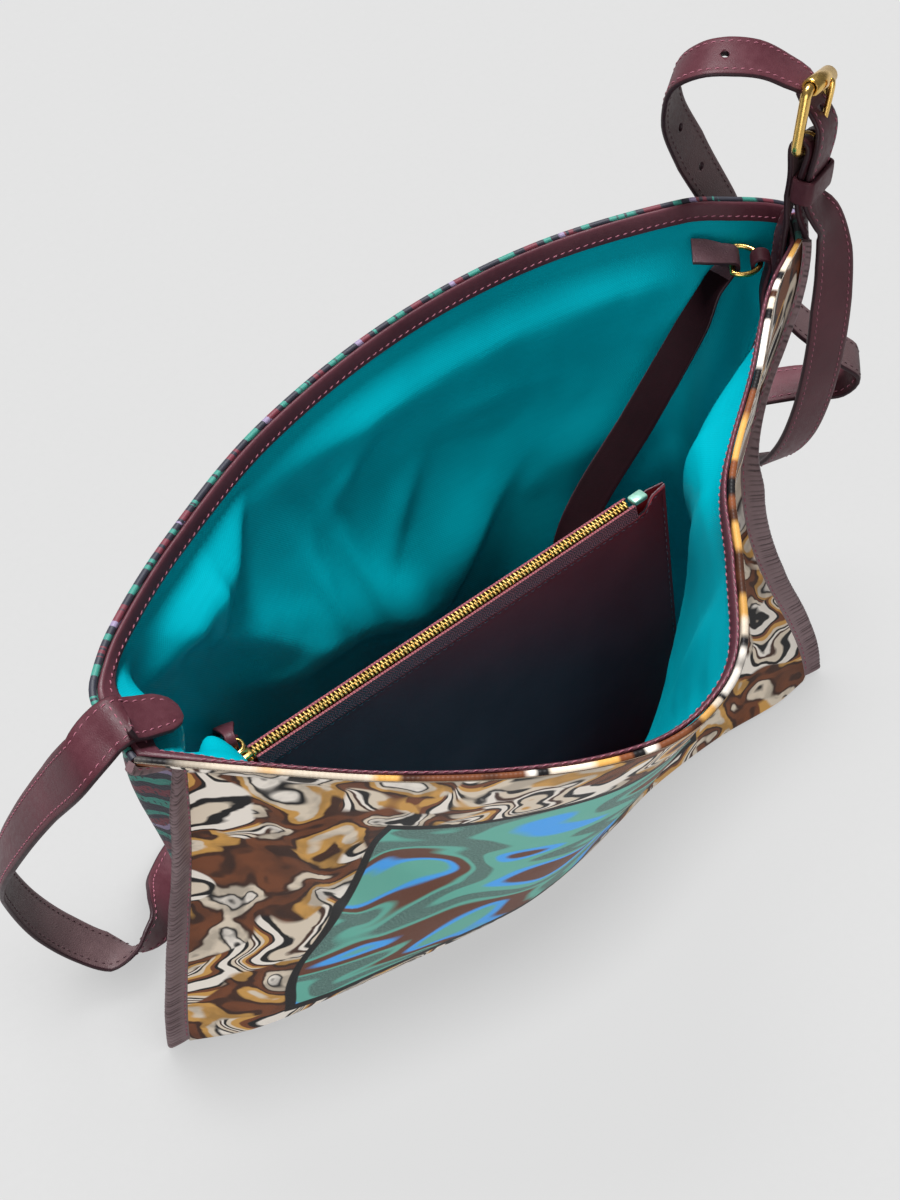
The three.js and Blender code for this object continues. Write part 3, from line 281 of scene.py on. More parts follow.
# Creases: side, u, v, slope in degrees, half length, half width above and below, push into the bag
LINING_CREASES = [
    ("back", 0.45, 0.58, 0, 0.130, 0.055, 0.0400, 0.0030),
    ("back", 0.28, 0.89, 35, 0.025, 0.013, 0.0035, 0.0075),
    ("back", 0.24, 0.89, 65, 0.015, 0.006, 0.0030, 0.0030),
    ("back", 0.20, 0.89, 10, 0.025, 0.009, 0.0100, 0.0090),
    ("back", 0.55, 0.54, 35, 0.025, 0.022, 0.0045, 0.0070),
    ("back", 0.42, 0.54, -20, 0.045, 0.022, 0.0060, 0.0085),
    ("back", 0.24, 0.78, -45, 0.050, 0.014, 0.0060, 0.0060),
    ("back", 0.61, 0.87, -5, 0.060, 0.018, 0.0120, 0.0040),
    ("back", 0.43, 0.90, -10, 0.050, 0.016, 0.0080, 0.0045),
    ("back", 0.41, 0.68, -85, 0.025, 0.006, 0.0040, 0.0025),
    ("back", 0.44, 0.82, 25, 0.015, 0.006, 0.0040, 0.0025),
    ("back", 0.60, 0.78, -5, 0.025, 0.008, 0.0040, 0.0025),
    ("back", 0.36, 0.66, -90, 0.020, 0.007, 0.0040, 0.0025),
    ("back", 0.30, 0.60, -30, 0.030, 0.008, 0.0045, 0.0035),
    ("back", 0.49, 0.70, 40, 0.020, 0.008, 0.0045, 0.0025),
    ("back", 0.72, 0.62, 5, 0.030, 0.014, 0.0080, 0.0030),
    ("back", 0.75, 0.87, 5, 0.025, 0.012, 0.0080, 0.0025),
    ("back", 0.86, 0.57, 80, 0.030, 0.012, 0.0080, 0.0030),
    ("back", 0.12, 0.66, 65, 0.030, 0.008, 0.0050, 0.0030),
    ("front", 0.60, 0.72, 85, 0.050, 0.012, 0.0070, 0.0025),
    ("front", 0.72, 0.70, 80, 0.050, 0.009, 0.0055, 0.0025),
    ("front", 0.80, 0.75, 75, 0.050, 0.008, 0.0050, 0.0020),
    ("front", 0.30, 0.60, 30, 0.050, 0.014, 0.0080, 0.0020),
    ("front", 0.15, 0.75, -40, 0.040, 0.012, 0.0070, 0.0020),
]
PANEL_CREASES = [
    ("front", 0.145, 0.64, -65, 0.070, 0.011, 0.0065, -0.0038),
    ("front", 0.215, 0.64, -60, 0.060, 0.014, 0.0085, 0.0020),
    ("front", 0.30, 0.42, -50, 0.070, 0.018, 0.0110, 0.0015),
    ("front", 0.47, 0.60, 70, 0.060, 0.015, 0.0090, -0.0015),
    ("front", 0.66, 0.40, 60, 0.050, 0.013, 0.0080, 0.0015),
    ("front", 0.86, 0.36, 40, 0.040, 0.011, 0.0065, -0.0015),
    ("back", 0.22, 0.50, 65, 0.050, 0.014, 0.0085, 0.0020),
    ("back", 0.46, 0.62, -55, 0.060, 0.016, 0.0095, -0.0015),
    ("back", 0.66, 0.44, 50, 0.060, 0.016, 0.0095, 0.0020),
    ("back", 0.84, 0.58, -65, 0.040, 0.012, 0.0070, -0.0015),
]

# Section of the rim facing, rolled over the cloth: share of the panel's height, depth inside its face
FACING_PROFILE = [
    (0.9650, 0.0033),
    (0.9648, 0.0042),
    (0.9675, 0.0047),
    (0.975, 0.0049),
    (0.985, 0.0048),
    (0.9940, 0.0047),
    (0.9975, 0.0044),
    (0.9990, 0.0038),
    (0.9980, 0.0032),
    (0.9945, 0.0029),
    (0.985, 0.0030),
    (0.970, 0.0032),
]

# Route of the long strap beyond the rim: centre, direction of its width, share of full width
STRAP_ROUTE = [
    (-0.175, 0.005, 0.203, 0.0, -1.0, 0.0, 1.0),
    (-0.184, 0.016, 0.178, -0.2, -0.97, 0.0, 1.0),
    (-0.193, 0.028, 0.148, -0.3, -0.95, 0.0, 1.0),
    (-0.199, 0.043, 0.110, -0.4, -0.9, 0.0, 1.0),
    (-0.196, 0.055, 0.077, -0.45, -0.88, 0.0, 1.0),
    (-0.188, 0.056, 0.045, -0.5, -0.86, 0.0, 1.0),
    (-0.177, 0.052, 0.023, -0.5, -0.85, 0.05, 1.0),
    (-0.166, 0.045, 0.012, -0.5, -0.8, 0.2, 1.0),
    (-0.155, 0.041, 0.010, -0.3, -0.4, 0.85, 1.0),
    (-0.146, 0.043, 0.011, 0.0, 0.1, 1.0, 1.0),
    (-0.137, 0.052, 0.009, -0.45, 0.45, 0.75, 1.0),
    (-0.127, 0.064, 0.004, -0.7, 0.7, 0.2, 1.0),
    (-0.112, 0.075, 0.0016, -0.5, 0.86, 0.0, 1.0),
    (-0.085, 0.083, 0.0016, -0.2, 0.98, 0.0, 1.0),
    (-0.040, 0.086, 0.0016, 0.0, 1.0, 0.0, 1.0),
    (0.000, 0.087, 0.005, 0.0, 1.0, 0.0, 1.0),
    (0.045, 0.091, 0.018, 0.0, 1.0, 0.0, 1.0),
    (0.095, 0.097, 0.042, 0.1, 1.0, 0.0, 1.0),
    (0.140, 0.100, 0.066, 0.25, 0.97, 0.0, 1.0),
    (0.177, 0.094, 0.084, 0.45, 0.9, 0.0, 1.0),
    (0.200, 0.080, 0.092, 0.6, 0.8, 0.0, 1.0),
    (0.217, 0.066, 0.097, 0.6, 0.8, 0.0, 1.0),
    (0.221, 0.063, 0.107, 0.6, 0.8, 0.0, 1.0),
    (0.212, 0.070, 0.117, 0.6, 0.8, 0.0, 1.0),
    (0.199, 0.083, 0.132, 0.65, 0.76, 0.0, 1.0),
    (0.187, 0.097, 0.155, 0.75, 0.65, 0.0, 1.0),
    (0.175, 0.108, 0.186, 0.85, 0.4, 0.0, 1.0),
    (0.162, 0.117, 0.216, 0.85, 0.3, 0.0, 1.0),
    (0.152, 0.119, 0.241, 0.8, 0.5, 0.0, 1.0),
    (0.151, 0.117, 0.259, 0.7, 0.66, -0.1, 1.0),
    (0.156, 0.1095, 0.269, 0.68, 0.73, 0.03, 1.0),
    (0.1648, 0.1028, 0.2712, 0.62, 0.78, 0.1, 1.0),
    (0.175, 0.097, 0.269, 0.64, 0.76, 0.06, 1.0),
    (0.1826, 0.092, 0.2642, 0.7, 0.68, -0.06, 1.0),
]
STRAP_TAIL = [
    (0.190, 0.064, 0.205, 0.9, 0.35, -0.2, 1.0),
    (0.192, 0.0595, 0.188, 0.96, 0.05, -0.12, 1.0),
    (0.1915, 0.056, 0.165, 0.97, -0.1, -0.1, 1.0),
    (0.191, 0.0545, 0.140, 0.97, -0.1, -0.08, 1.0),
    (0.1905, 0.056, 0.108, 0.97, -0.1, -0.06, 1.0),
    (0.189, 0.061, 0.080, 0.97, -0.1, -0.05, 1.0),
    (0.187, 0.069, 0.062, 0.97, -0.1, -0.05, 1.0),
    (0.185, 0.077, 0.054, 0.97, -0.05, -0.05, 0.9),
    (0.184, 0.082, 0.051, 0.97, 0.0, -0.05, 0.4),
]

# Half section of a strap, from its middle to its edge: share of half width, share of half thickness
STRAP_SECTION = [
    (0.0, 1.0),
    (0.35, 0.99),
    (0.60, 0.94),
    (0.72, 0.84),
    (0.82, 0.92),
    (0.94, 0.78),
    (0.99, 0.42),
]

# The strap over the rim: depth inside the panel, lift
STRAP_OVER_RIM = [
    (RIM_DEPTH + 0.002, 0.0014),
    (RIM_DEPTH - 0.0008, 0.0026),
    (0.0004, 0.0027),
    (-0.003, 0.0019),
]

# The strap through the buckle: drop below the roller, place out of the buckle's plane
STRAP_THROUGH = [
    (0.0015, -ROLLER_RADIUS - SEAM_GAP - STRAP_THICKNESS / 2 - 0.001),
    (0.0065, -0.0022),
    (0.011, 0.0024),
    (0.0155, 0.0058),
    (BUCKLE_HEIGHT - 0.003, 0.0066),
]

# The strap by the keeper: height from the keeper, place out from the tail's lift
STRAP_BY_KEEPER = [(0.008, 0.0006), (0.002, 0.0), (-0.005, 0.0003), (-0.011, 0.0022)]

# The strap's sewn tab: share of the panel's height, share of full width, clearance
STRAP_TAB = [
    (0.940, 0.30, 0.0005),
    (0.944, 0.60, 0.0006),
    (0.953, 0.84, 0.0007),
    (0.970, 0.93, 0.0007),
    (0.985, 1.00, 0.0008),
]

# The short strap: height above the rim and spread of its layers, then its sewn ends inside and outside
SHORT_STRAP_SPREAD = [(0.004, 0.0036), (0.011, 0.0025), (0.017, 0.00215), (0.027, 0.00215)]
SHORT_STRAP_LEVELS = [
    (0.88, 0.0004, 0.4),
    (0.895, 0.0005, 0.8),
    (0.93, 0.0009, 1.0),
    (0.975, 0.0014, 1.0),
]

# Corners of the pouch, as it leans in the bag
POUCH = {
    "bottom_left": np.array([-0.116, -0.006, 0.0036]),
    "bottom_right": np.array([0.092, 0.004, 0.0036]),
    "top_left": np.array([-0.115, 0.012, 0.146]),
    "top_right": np.array([0.089, 0.031, 0.148]),
}
TETHER_ROUTE = [
    (0.1455, 0.076, 0.186, 0.45, 0.85, 0.1, 0.9),
    (0.134, 0.0725, 0.174, 0.0, 0.9, 0.1, 1.0),
    (0.099, 0.060, 0.150, -0.27, 0.85, 0.3, 1.0),
    (0.062, 0.046, 0.130, -0.27, 0.85, 0.35, 1.0),
]

# Camera at the photograph's angle, with its image 900 by 1200
CAMERA_PLACE = (-0.324, -0.430, 0.8565)
CAMERA_TARGET = (0.008, 0.059, 0.100)
CAMERA_LENS = 72.3
CAMERA_SENSOR = 36.0

# Studio: each sun's name, direction, strength and spread in degrees
SUNS = [("key", (0.08, 0.40, 0.91), 6.0, 20), ("fill", (-0.60, -0.70, 0.36), 1.2, 45)]
SKY_STRENGTH = 0.18
FLOOR_HALF = 4.0
FLOOR_LEVEL = -0.0003


# Shaders

class Shader:
    """A material and its nodes, made by name with sockets or plain values as inputs."""

    def __init__(self, name):
        self.material = bpy.data.materials.new(name)
        self.material.use_nodes = True
        self.tree = self.material.node_tree
        self.surface = self.tree.nodes["Principled BSDF"]

    def add(self, kind, inputs, output=0, **settings):
        node = self.tree.nodes.new("ShaderNode" + kind)
        for key, value in settings.items():
            setattr(node, key, value)
        for key, value in inputs.items():
            self.set(node.inputs[key], value)
        return node.outputs[output]

    def set(self, socket, value):
        if isinstance(value, bpy.types.NodeSocket):
            self.tree.links.new(value, socket)
        else:
            socket.default_value = value

    def finish(self, **inputs):
        for key, value in inputs.items():
            self.set(self.surface.inputs[key.replace("_", " ")], value)
        return self.material

    def math(self, operation, a, b=0.0):
        return self.add("Math", {0: a, 1: b}, operation=operation)

    def multiply_add(self, a, b, c):
        return self.add("Math", {0: a, 1: b, 2: c}, operation="MULTIPLY_ADD")

    def place(self):
        return self.add("TexCoord", {}, output="Object")

    def flat(self):
        return self.add("Attribute", {}, output="Vector", attribute_name="flat")

    def parts(self, vector):
        node = self.tree.nodes.new("ShaderNodeSeparateXYZ")
        self.set(node.inputs[0], vector)
        return node.outputs

    def noise(self, vector, scale, detail, output="Fac"):
        return self.add("TexNoise", {"Vector": vector, "Scale": scale, "Detail": detail}, output=output)

    def warp(self, vector, scale, amount):
        """A vector shaken by a slow noise."""
        shake = self.noise(vector, scale, 1.0, output="Color")
        centred = self.add("VectorMath", {0: shake, 1: (0.5, 0.5, 0.5)}, operation="SUBTRACT")
        return self.add("VectorMath", {0: centred, 1: (amount,) * 3, 2: vector}, operation="MULTIPLY_ADD")

    def ramp(self, value, stops, interpolation="LINEAR"):
        """A ramp through places and their colours; a colour that is one number is a grey."""
        node = self.tree.nodes.new("ShaderNodeValToRGB")
        node.color_ramp.interpolation = interpolation
        elements = node.color_ramp.elements
        while len(elements) < len(stops):
            elements.new(1.0)
        for element, (position, tone) in zip(elements, stops):
            element.position = position
            element.color = with_alpha((tone,) * 3 if isinstance(tone, float) else tone)
        self.set(node.inputs[0], value)
        return node.outputs[0]

    def blend(self, share, a, b):
        inputs = {"Factor": share, 6: a, 7: b}
        return self.add("Mix", inputs, output=2, data_type="RGBA")

    def bump(self, height, distance, normal=None):
        inputs = {"Height": height, "Distance": distance, "Strength": 1.0}
        if normal is not None:
            inputs["Normal"] = normal
        return self.add("Bump", inputs)


def with_alpha(rgb):
    return (*rgb, 1.0)


def leather(name, dark, light, roughness, grain, grain_size=0.0009, shine=0.25, shade_grooves=False):
    """Dyed leather: a pebbled grain, cloudy colour and a dull shine; where asked, painted shade darkens the
    grooves between ribs.
    """
    s = Shader(name)
    place = s.place()
    cloud = s.noise(place, 28.0, 4.0)
    mottle = s.noise(place, 420.0, 3.0)
    tone = s.multiply_add(mottle, 0.35, cloud)
    base = s.ramp(tone, [(0.38, dark), (0.92, light)])
    if shade_grooves:
        # painted shade in the rib grooves: the colour darkens with the groove depth carried in the flat
        # attribute
        groove = s.ramp(s.parts(s.flat())[0], [(0.1, 0.0), (0.9, 0.85)])
        base = s.blend(groove, base, with_alpha(tuple(0.3 * x for x in dark)))
    pebbles = s.add("TexVoronoi", {"Vector": place, "Scale": 1 / grain_size}, feature="DISTANCE_TO_EDGE")
    creases = s.noise(place, 160.0, 5.0)
    bumps = s.math("MINIMUM", pebbles, 0.35)
    height = s.multiply_add(creases, 0.8, bumps)
    rough = s.ramp(mottle, [(0.3, roughness - 0.06), (0.75, roughness + 0.10)])
    return s.finish(
        Base_Color=base,
        Roughness=rough,
        Specular_IOR_Level=shine,
        Normal=s.bump(height, grain),
    )


def thread(name, rgb):
    s = Shader(name)
    strands = s.noise(s.place(), 2600.0, 2.0)
    dark = tuple(0.55 * x for x in rgb)
    return s.finish(Base_Color=s.ramp(strands, [(0.3, dark), (0.7, rgb)]), Roughness=0.7)


def brass(name):
    s = Shader(name)
    place = s.place()
    cloud = s.noise(place, 90.0, 4.0)
    scuff = s.noise(place, 900.0, 2.0)
    base = s.ramp(cloud, [(0.3, (0.66, 0.41, 0.11)), (0.7, (0.86, 0.58, 0.19))])
    rough = s.ramp(scuff, [(0.3, 0.20), (0.8, 0.36)])
    return s.finish(Base_Color=base, Metallic=1.0, Roughness=rough, Normal=s.bump(scuff, 0.00002))


def woven(s, flat, pitch):
    """Height of a fine plain weave."""
    x, y, _ = s.parts(flat)
    turns = 2 * math.pi / pitch
    warp_line = s.math("SINE", s.math("MULTIPLY", x, turns))
    weft_line = s.math("SINE", s.math("MULTIPLY", y, turns))
    return s.math("MULTIPLY", warp_line, weft_line)


def lining_cloth():
    s = Shader("teal_lining")
    flat = s.flat()
    cloud = s.noise(s.place(), 16.0, 4.0)
    slub_place = s.add("Mapping", {"Vector": flat, "Scale": (60.0, 900.0, 1.0)})
    slub = s.noise(slub_place, 1.0, 2.0)
    weave = woven(s, flat, 0.0010)
    tone = s.multiply_add(slub, 0.25, cloud)
    tone = s.multiply_add(weave, 0.10, tone)
    base = s.ramp(tone, [(0.30, (0.0, 0.27, 0.335)), (0.95, (0.0, 0.36, 0.44))])
    return s.finish(
        Base_Color=base,
        Roughness=0.42,
        Specular_IOR_Level=0.2,
        Specular_Tint=(0.15, 0.9, 1.0, 1.0),
        Normal=s.bump(slub, 0.00006, normal=s.bump(weave, 0.00003)),
    )


def steps(rows, soft=0.006):
    """Stops of a ramp from rows of an upper limit and a colour, with short blends between them."""
    stops, low = [], 0.0
    for limit, rgb in rows:
        stops.append((low, rgb))
        stops.append((limit - soft, rgb))
        low = limit + soft
    return stops


def marbled_cloth():
    """Generic marbling: banded stone along the edges, and pools of green and blue in the middle."""
    s = Shader("marbled_print")
    flat = s.flat()
    drift = s.warp(flat, 12.0, 0.042)
    curl = s.warp(drift, 42.0, 0.014)
    fine = s.warp(curl, 190.0, 0.0022)
    cream, pale, ochre = (0.74, 0.63, 0.50), (0.88, 0.81, 0.73), (0.62, 0.33, 0.085)
    rust, umber, ink = (0.180, 0.057, 0.022), (0.060, 0.022, 0.012), (0.010, 0.009, 0.010)

    x, y, _ = s.parts(fine)
    swirl = s.math("MULTIPLY", s.noise(curl, 22.0, 1.0), 5.0)
    strata = s.multiply_add(y, 34.0, swirl)
    bands = s.math("FRACT", s.multiply_add(x, 9.0, strata))
    veins = [
        (0.13, pale),
        (0.23, ink),
        (0.34, cream),
        (0.40, umber),
        (0.46, pale),
        (0.53, ink),
        (0.62, cream),
        (0.74, ochre),
        (0.84, rust),
        (0.92, ink),
        (1.00, pale),
    ]
    blots = [
        (0.34, ink),
        (0.37, pale),
        (0.385, ink),
        (0.43, cream),
        (0.45, umber),
        (0.50, rust),
        (0.53, umber),
        (0.57, ochre),
        (0.61, cream),
        (0.63, ink),
        (0.68, pale),
        (1.00, ink),
    ]
    earth = s.ramp(s.noise(fine, 32.0, 1.5), steps(blots))
    shade = s.ramp(s.noise(curl, 90.0, 3.0), [(0.40, 0.7), (0.60, 0.0)])
    earth = s.blend(shade, earth, s.blend(0.5, earth, with_alpha(ink)))
    zone = s.ramp(s.noise(drift, 21.0, 1.0), [(0.505, 0.0), (0.52, 1.0)])
    stone = s.blend(zone, earth, s.ramp(bands, steps(veins, 0.012)))

    flow = s.add("Mapping", {"Vector": drift, "Scale": (0.62, 1.5, 1.0), "Rotation": (0, 0, 0.5)})
    pools = s.noise(flow, 17.0, 1.0)
    aqua, moss, sky = (0.135, 0.46, 0.37), (0.066, 0.140, 0.124), (0.068, 0.40, 0.95)
    clay = (0.140, 0.048, 0.027)
    pool_rows = [(0.37, clay), (0.41, sky), (0.57, aqua), (0.63, clay), (0.66, sky), (1.00, aqua)]
    water = s.ramp(pools, steps(pool_rows, 0.008))
    speckle = s.ramp(s.noise(flat, 1400.0, 2.0), [(0.42, 0.0), (0.66, 1.0)])
    grit = s.blend(speckle, with_alpha(moss), with_alpha((0.17, 0.31, 0.27)))
    gritty = s.ramp(pools, [(0.465, 0.0), (0.475, 1.0), (0.535, 1.0), (0.55, 0.0)])
    water = s.blend(gritty, water, grit)

    shore_x, shore_y, _ = s.parts(s.warp(flat, 13.0, 0.030))
    from_rim = s.math("SUBTRACT", 0.164, shore_y)
    from_ground = s.math("SUBTRACT", shore_y, 0.016)
    from_side = s.math("SUBTRACT", 0.106, s.math("ABSOLUTE", s.math("ADD", shore_x, 0.018)))
    shore = s.math("MINIMUM", from_rim, s.math("MINIMUM", from_side, from_ground))
    depth = s.multiply_add(shore, 40.0, 0.5)
    in_water = s.ramp(depth, [(0.49, 0.0), (0.51, 1.0)])
    line = s.ramp(depth, [(0.36, 0.0), (0.38, 1.0), (0.53, 1.0), (0.55, 0.0)])
    printed = s.blend(line, s.blend(in_water, stone, water), with_alpha(ink))
    return s.finish(
        Base_Color=printed,
        Roughness=0.45,
        Specular_IOR_Level=0.12,
        Normal=s.bump(woven(s, flat, 0.0007), 0.00003),
    )


def striped_cloth():
    """Generic fine stripes that wander, with small dots between."""
    s = Shader("striped_cloth")
    flat = s.flat()
    wander = s.warp(flat, 40.0, 0.012)
    x, y, _ = s.parts(wander)
    slant = s.multiply_add(x, 0.6, y)
    bands = s.math("FRACT", s.math("MULTIPLY", slant, 1 / 0.030))
    teal, wine = (0.02, 0.20, 0.16), (0.13, 0.015, 0.03)
    navy, lilac = (0.010, 0.011, 0.024), (0.23, 0.18, 0.30)
    stripes = s.ramp(
        bands,
        [
            (0.00, navy),
            (0.14, teal),
            (0.27, navy),
            (0.34, wine),
            (0.46, navy),
            (0.55, teal),
            (0.64, navy),
            (0.72, lilac),
            (0.78, wine),
            (0.88, navy),
            (0.94, teal),
        ],
        "CONSTANT",
    )
    dots = s.add("TexVoronoi", {"Vector": flat, "Scale": 330.0, "Randomness": 0.35})
    dotted = s.blend(s.ramp(dots, [(0.22, 1.0), (0.30, 0.0)]), stripes, with_alpha(navy))
    return s.finish(
        Base_Color=dotted,
        Roughness=0.6,
        Sheen_Weight=0.1,
        Normal=s.bump(woven(s, flat, 0.0008), 0.00005),
    )


def herringbone_tape():
    s = Shader("zip_tape")
    x, y, _ = s.parts(s.flat())
    rows = s.math("PINGPONG", y, 0.0017)
    ribs = s.math("SINE", s.math("MULTIPLY", s.math("ADD", x, rows), 2 * math.pi / 0.0013))
    tone = s.multiply_add(ribs, 0.5, 0.5)
    base = s.ramp(tone, [(0.1, (0.120, 0.024, 0.034)), (0.9, (0.300, 0.070, 0.090))])
    return s.finish(Base_Color=base, Roughness=0.72, Normal=s.bump(ribs, 0.00012))


def green_stop():
    s = Shader("zip_stop")
    mottle = s.noise(s.place(), 700.0, 3.0)
    base = s.ramp(mottle, [(0.3, (0.16, 0.36, 0.28)), (0.75, (0.30, 0.52, 0.42))])
    return s.finish(Base_Color=base, Metallic=0.3, Roughness=0.38, Normal=s.bump(mottle, 0.00003))


def floor_paper():
    """White paper that glows evenly, with a painted soft shadow where the bag stands near it: ambient
    occlusion dims the glow there.
    """
    s = Shader("floor_paper")
    tooth = s.noise(s.place(), 300.0, 3.0)
    # painted contact shadow: ambient occlusion dims the floor's glow near the bag
    near = s.add("AmbientOcclusion", {"Distance": 0.05}, output="AO")
    return s.finish(
        Base_Color=s.ramp(tooth, [(0.3, 0.018), (0.7, 0.022)]),
        Roughness=0.9,
        Specular_IOR_Level=0.05,
        Emission_Color=s.ramp(near, [(0.45, 0.72), (0.97, 1.0)]),
        Emission_Strength=0.730,
    )


# Leathers: dark and light tone, roughness, grain depth
PLUM = leather("plum_leather", (0.052, 0.013, 0.019), (0.098, 0.031, 0.041), 0.44, 0.00008, shine=0.15)
PLUM_BACK = leather(
    "plum_leather_back", (0.060, 0.034, 0.037), (0.110, 0.066, 0.070), 0.55, 0.00020, grain_size=0.0010
)
PLUM_EDGE = leather("plum_leather_edge", (0.018, 0.006, 0.009), (0.036, 0.013, 0.018), 0.45, 0.00008)
FACING_SKIN = leather("facing_leather", (0.060, 0.016, 0.024), (0.105, 0.032, 0.043), 0.42, 0.00008)
# Binding leather, with painted shade in its rib grooves
RIBBED = leather("ribbed_binding", (0.125, 0.075, 0.082), (0.210, 0.142, 0.150), 0.45, 0.00010, shade_grooves=True)
POUCH_SKIN = leather(
    "pouch_leather", (0.220, 0.022, 0.030), (0.310, 0.034, 0.044), 0.38, 0.00004, shine=0.09
)
# Tether leather: its own dark plum, darkened to near black as painted shade
TETHER_SHADED_SKIN = leather(
    "tether_leather_shaded", (0.006, 0.002, 0.003), (0.014, 0.004, 0.006), 0.70, 0.00008, shine=0.04
)
TAG_SKIN = leather(
    "tag_leather", (0.065, 0.026, 0.034), (0.135, 0.070, 0.082), 0.45, 0.00030, grain_size=0.0013
)
PINK_THREAD = thread("plum_thread", (0.36, 0.11, 0.16))
DARK_THREAD = thread("dark_thread", (0.075, 0.030, 0.038))
POUCH_THREAD = thread("pouch_thread", (0.30, 0.13, 0.16))
BRASS = brass("brass")
LINING_CLOTH = lining_cloth()
PRINT_CLOTH = marbled_cloth()
STRIPE_CLOTH = striped_cloth()
TAPE_CLOTH = herringbone_tape()
STOP_CLOTH = green_stop()


# Meshes

def add_piece(name, points, faces, materials, face_materials=None, flat=None, crease=50):
    """A named mesh object that rides on the part's one body."""
    points = np.reshape(points, (-1, 3))
    mesh = bpy.data.meshes.new(name)
    mesh.from_pydata(points.tolist(), [], faces)
    for material in materials:
        mesh.materials.append(material)
    if face_materials is not None:
        mesh.polygons.foreach_set("material_index", np.asarray(face_materials, np.int32))
    if flat is not None:
        attribute = mesh.attributes.new("flat", "FLOAT_VECTOR", "POINT")
        attribute.data.foreach_set("vector", np.reshape(flat, -1).astype(np.float32))
    solid = bmesh.new()
    solid.from_mesh(mesh)
    bmesh.ops.recalc_face_normals(solid, faces=solid.faces)
    solid.to_mesh(mesh)
    solid.free()
    mesh.shade_smooth()
    mesh.set_sharp_from_angle(angle=math.radians(crease))
    piece = bpy.data.objects.new(name, mesh)
    bpy.context.scene.collection.objects.link(piece)
    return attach(piece, "root")


def stand_for(piece, node):
    """Shows a piece in place of one of the part's nodes."""
    piece.name = node + "_finish"
    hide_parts(node)
    return piece


def ring_faces(count, size, loop=False):
    """Faces between closed rings of one size, each joined to the next."""
    faces = []
    for i in range(count if loop else count - 1):
        here, there = i * size, (i + 1) % count * size
        for k in range(size):
            m = (k + 1) % size
            faces.append((here + k, here + m, there + m, there + k))
    return faces


def loft(sections, loop=False):
    """Faces through a row of closed sections of one size, with a strip of faces over each end."""
    count, size = sections.shape[:2]
    faces = ring_faces(count, size, loop)
    if not loop:
        last = (count - 1) * size
        for k in range(size // 2 - 1):
            strip = (k, k + 1, size - 2 - k, size - 1 - k)
            faces.append(tuple(reversed(strip)))
            faces.append(tuple(last + corner for corner in strip))
    return faces


def dress(node, sections, skins, bands=None, flat=None, crease=50, loop=False):
    """A lofted piece that shows in place of one of the part's nodes."""
    piece = add_piece(node, sections, loft(sections, loop), skins, bands, flat, crease)
    return stand_for(piece, node)


def two_faces(outer, inner):
    """Closed sections of a sheet, up its outer face and down its inner one."""
    return np.concatenate([outer, inner[::-1]]).transpose(1, 0, 2)


def around(count):
    """Even angles round a circle."""
    return np.linspace(0, 2 * np.pi, count, endpoint=False)


def unit(vectors):
    return vectors / np.maximum(np.linalg.norm(vectors, axis=-1, keepdims=True), 1e-12)


def square_to(vectors, axis):
    """The part of each vector at right angles to an axis, at length 1."""
    return unit(vectors - (vectors * axis).sum(-1, keepdims=True) * axis)


def rounded_corners(half_width, low, high, corner, cuts):
    """Rows round a rectangle with round corners: place across, place up and the way out there."""
    low, high = low + corner, high - corner
    rows = []
    for side, middle, start in ((1, low, -90), (1, high, 0), (-1, high, 90), (-1, low, 180)):
        for angle in np.radians(np.linspace(start, start + 90, cuts)):
            x, y = math.cos(angle), math.sin(angle)
            rows.append((side * (half_width - corner) + corner * x, middle + corner * y, x, y))
    return rows


def mix(a, b, share):
    return a + (b - a) * share


def smooth_step(x, low, high):
    share = np.clip((x - low) / (high - low), 0, 1)
    return share * share * (3 - 2 * share)


# The bag's walls

RIM = {side: dict(zip(RIM_COLUMNS, np.array(rows).T)) for side, rows in RIM_ROWS.items()}


def table_value(table, column, u):
    """Smooth value of one column of a table at places between its rows."""
    knots, values = table["u"], table[column]
    rows = np.arange(len(knots))
    before, after = np.maximum(rows - 1, 0), np.minimum(rows + 1, len(knots) - 1)
    slopes = (values[after] - values[before]) / (knots[after] - knots[before])
    i = np.clip(np.searchsorted(knots, u, side="right") - 1, 0, len(knots) - 2)
    gap = knots[i + 1] - knots[i]
    t = (u - knots[i]) / gap
    rise = (values[i + 1] - values[i]) * t * t * (3 - 2 * t)
    return values[i] + rise + gap * t * (1 - t) * ((1 - t) * slopes[i] - t * slopes[i + 1])


def pull_profile(v, peak):
    phase = np.where(v < peak, 0.5 * v / peak, 0.5 + 0.5 * (v - peak) / (1 - peak))
    return (0.5 - 0.5 * np.cos(2 * np.pi * phase)) ** np.where(v < peak, PULL_FULLNESS, 1.0)


def seam_fade(u, v, top):
    """Nothing at the side seams, on the ground and at the top, so that the cloths still meet."""
    fade = 1 - np.exp(-((np.minimum(u, 1 - u) / SEAM_FADE) ** 2))
    return fade * np.minimum(1, GROUND_FADE * v) * np.clip(TOP_FADE * (top - v), 0, 1)


def dent_push(dents, side, u, v, top=1.0):
    push = np.zeros((*u.shape, 3))
    for dent_side, dent_u, dent_v, along, up, dx, dy in dents:
        if dent_side == side:
            share = np.exp(-(((u - dent_u) / along) ** 2) - ((v - dent_v) / up) ** 2)
            push += share[..., None] * np.array([dx, dy, 0.0])
    return push * seam_fade(u, v, top)[..., None]


def crease_push(creases, side, u, v, top=1.0):
    """How far the creases push the cloth into the bag."""
    push = np.zeros(u.shape)
    for crease_side, crease_u, crease_v, slope, long, above, below, height in creases:
        if crease_side == side:
            turn = math.radians(slope)
            s, t = (u - crease_u) * PANEL_LENGTH, (v - crease_v) * PANEL_HEIGHT
            along = (s * math.cos(turn) + t * math.sin(turn)) / long
            across = t * math.cos(turn) - s * math.sin(turn)
            across = np.where(across > 0, across / above, across / below)
            push += height * np.exp(-along * along - across * across)
    return push * seam_fade(u, v, top)


def foot_depth(side, u):
    return np.maximum(0, table_value(RIM[side], "foot", u))


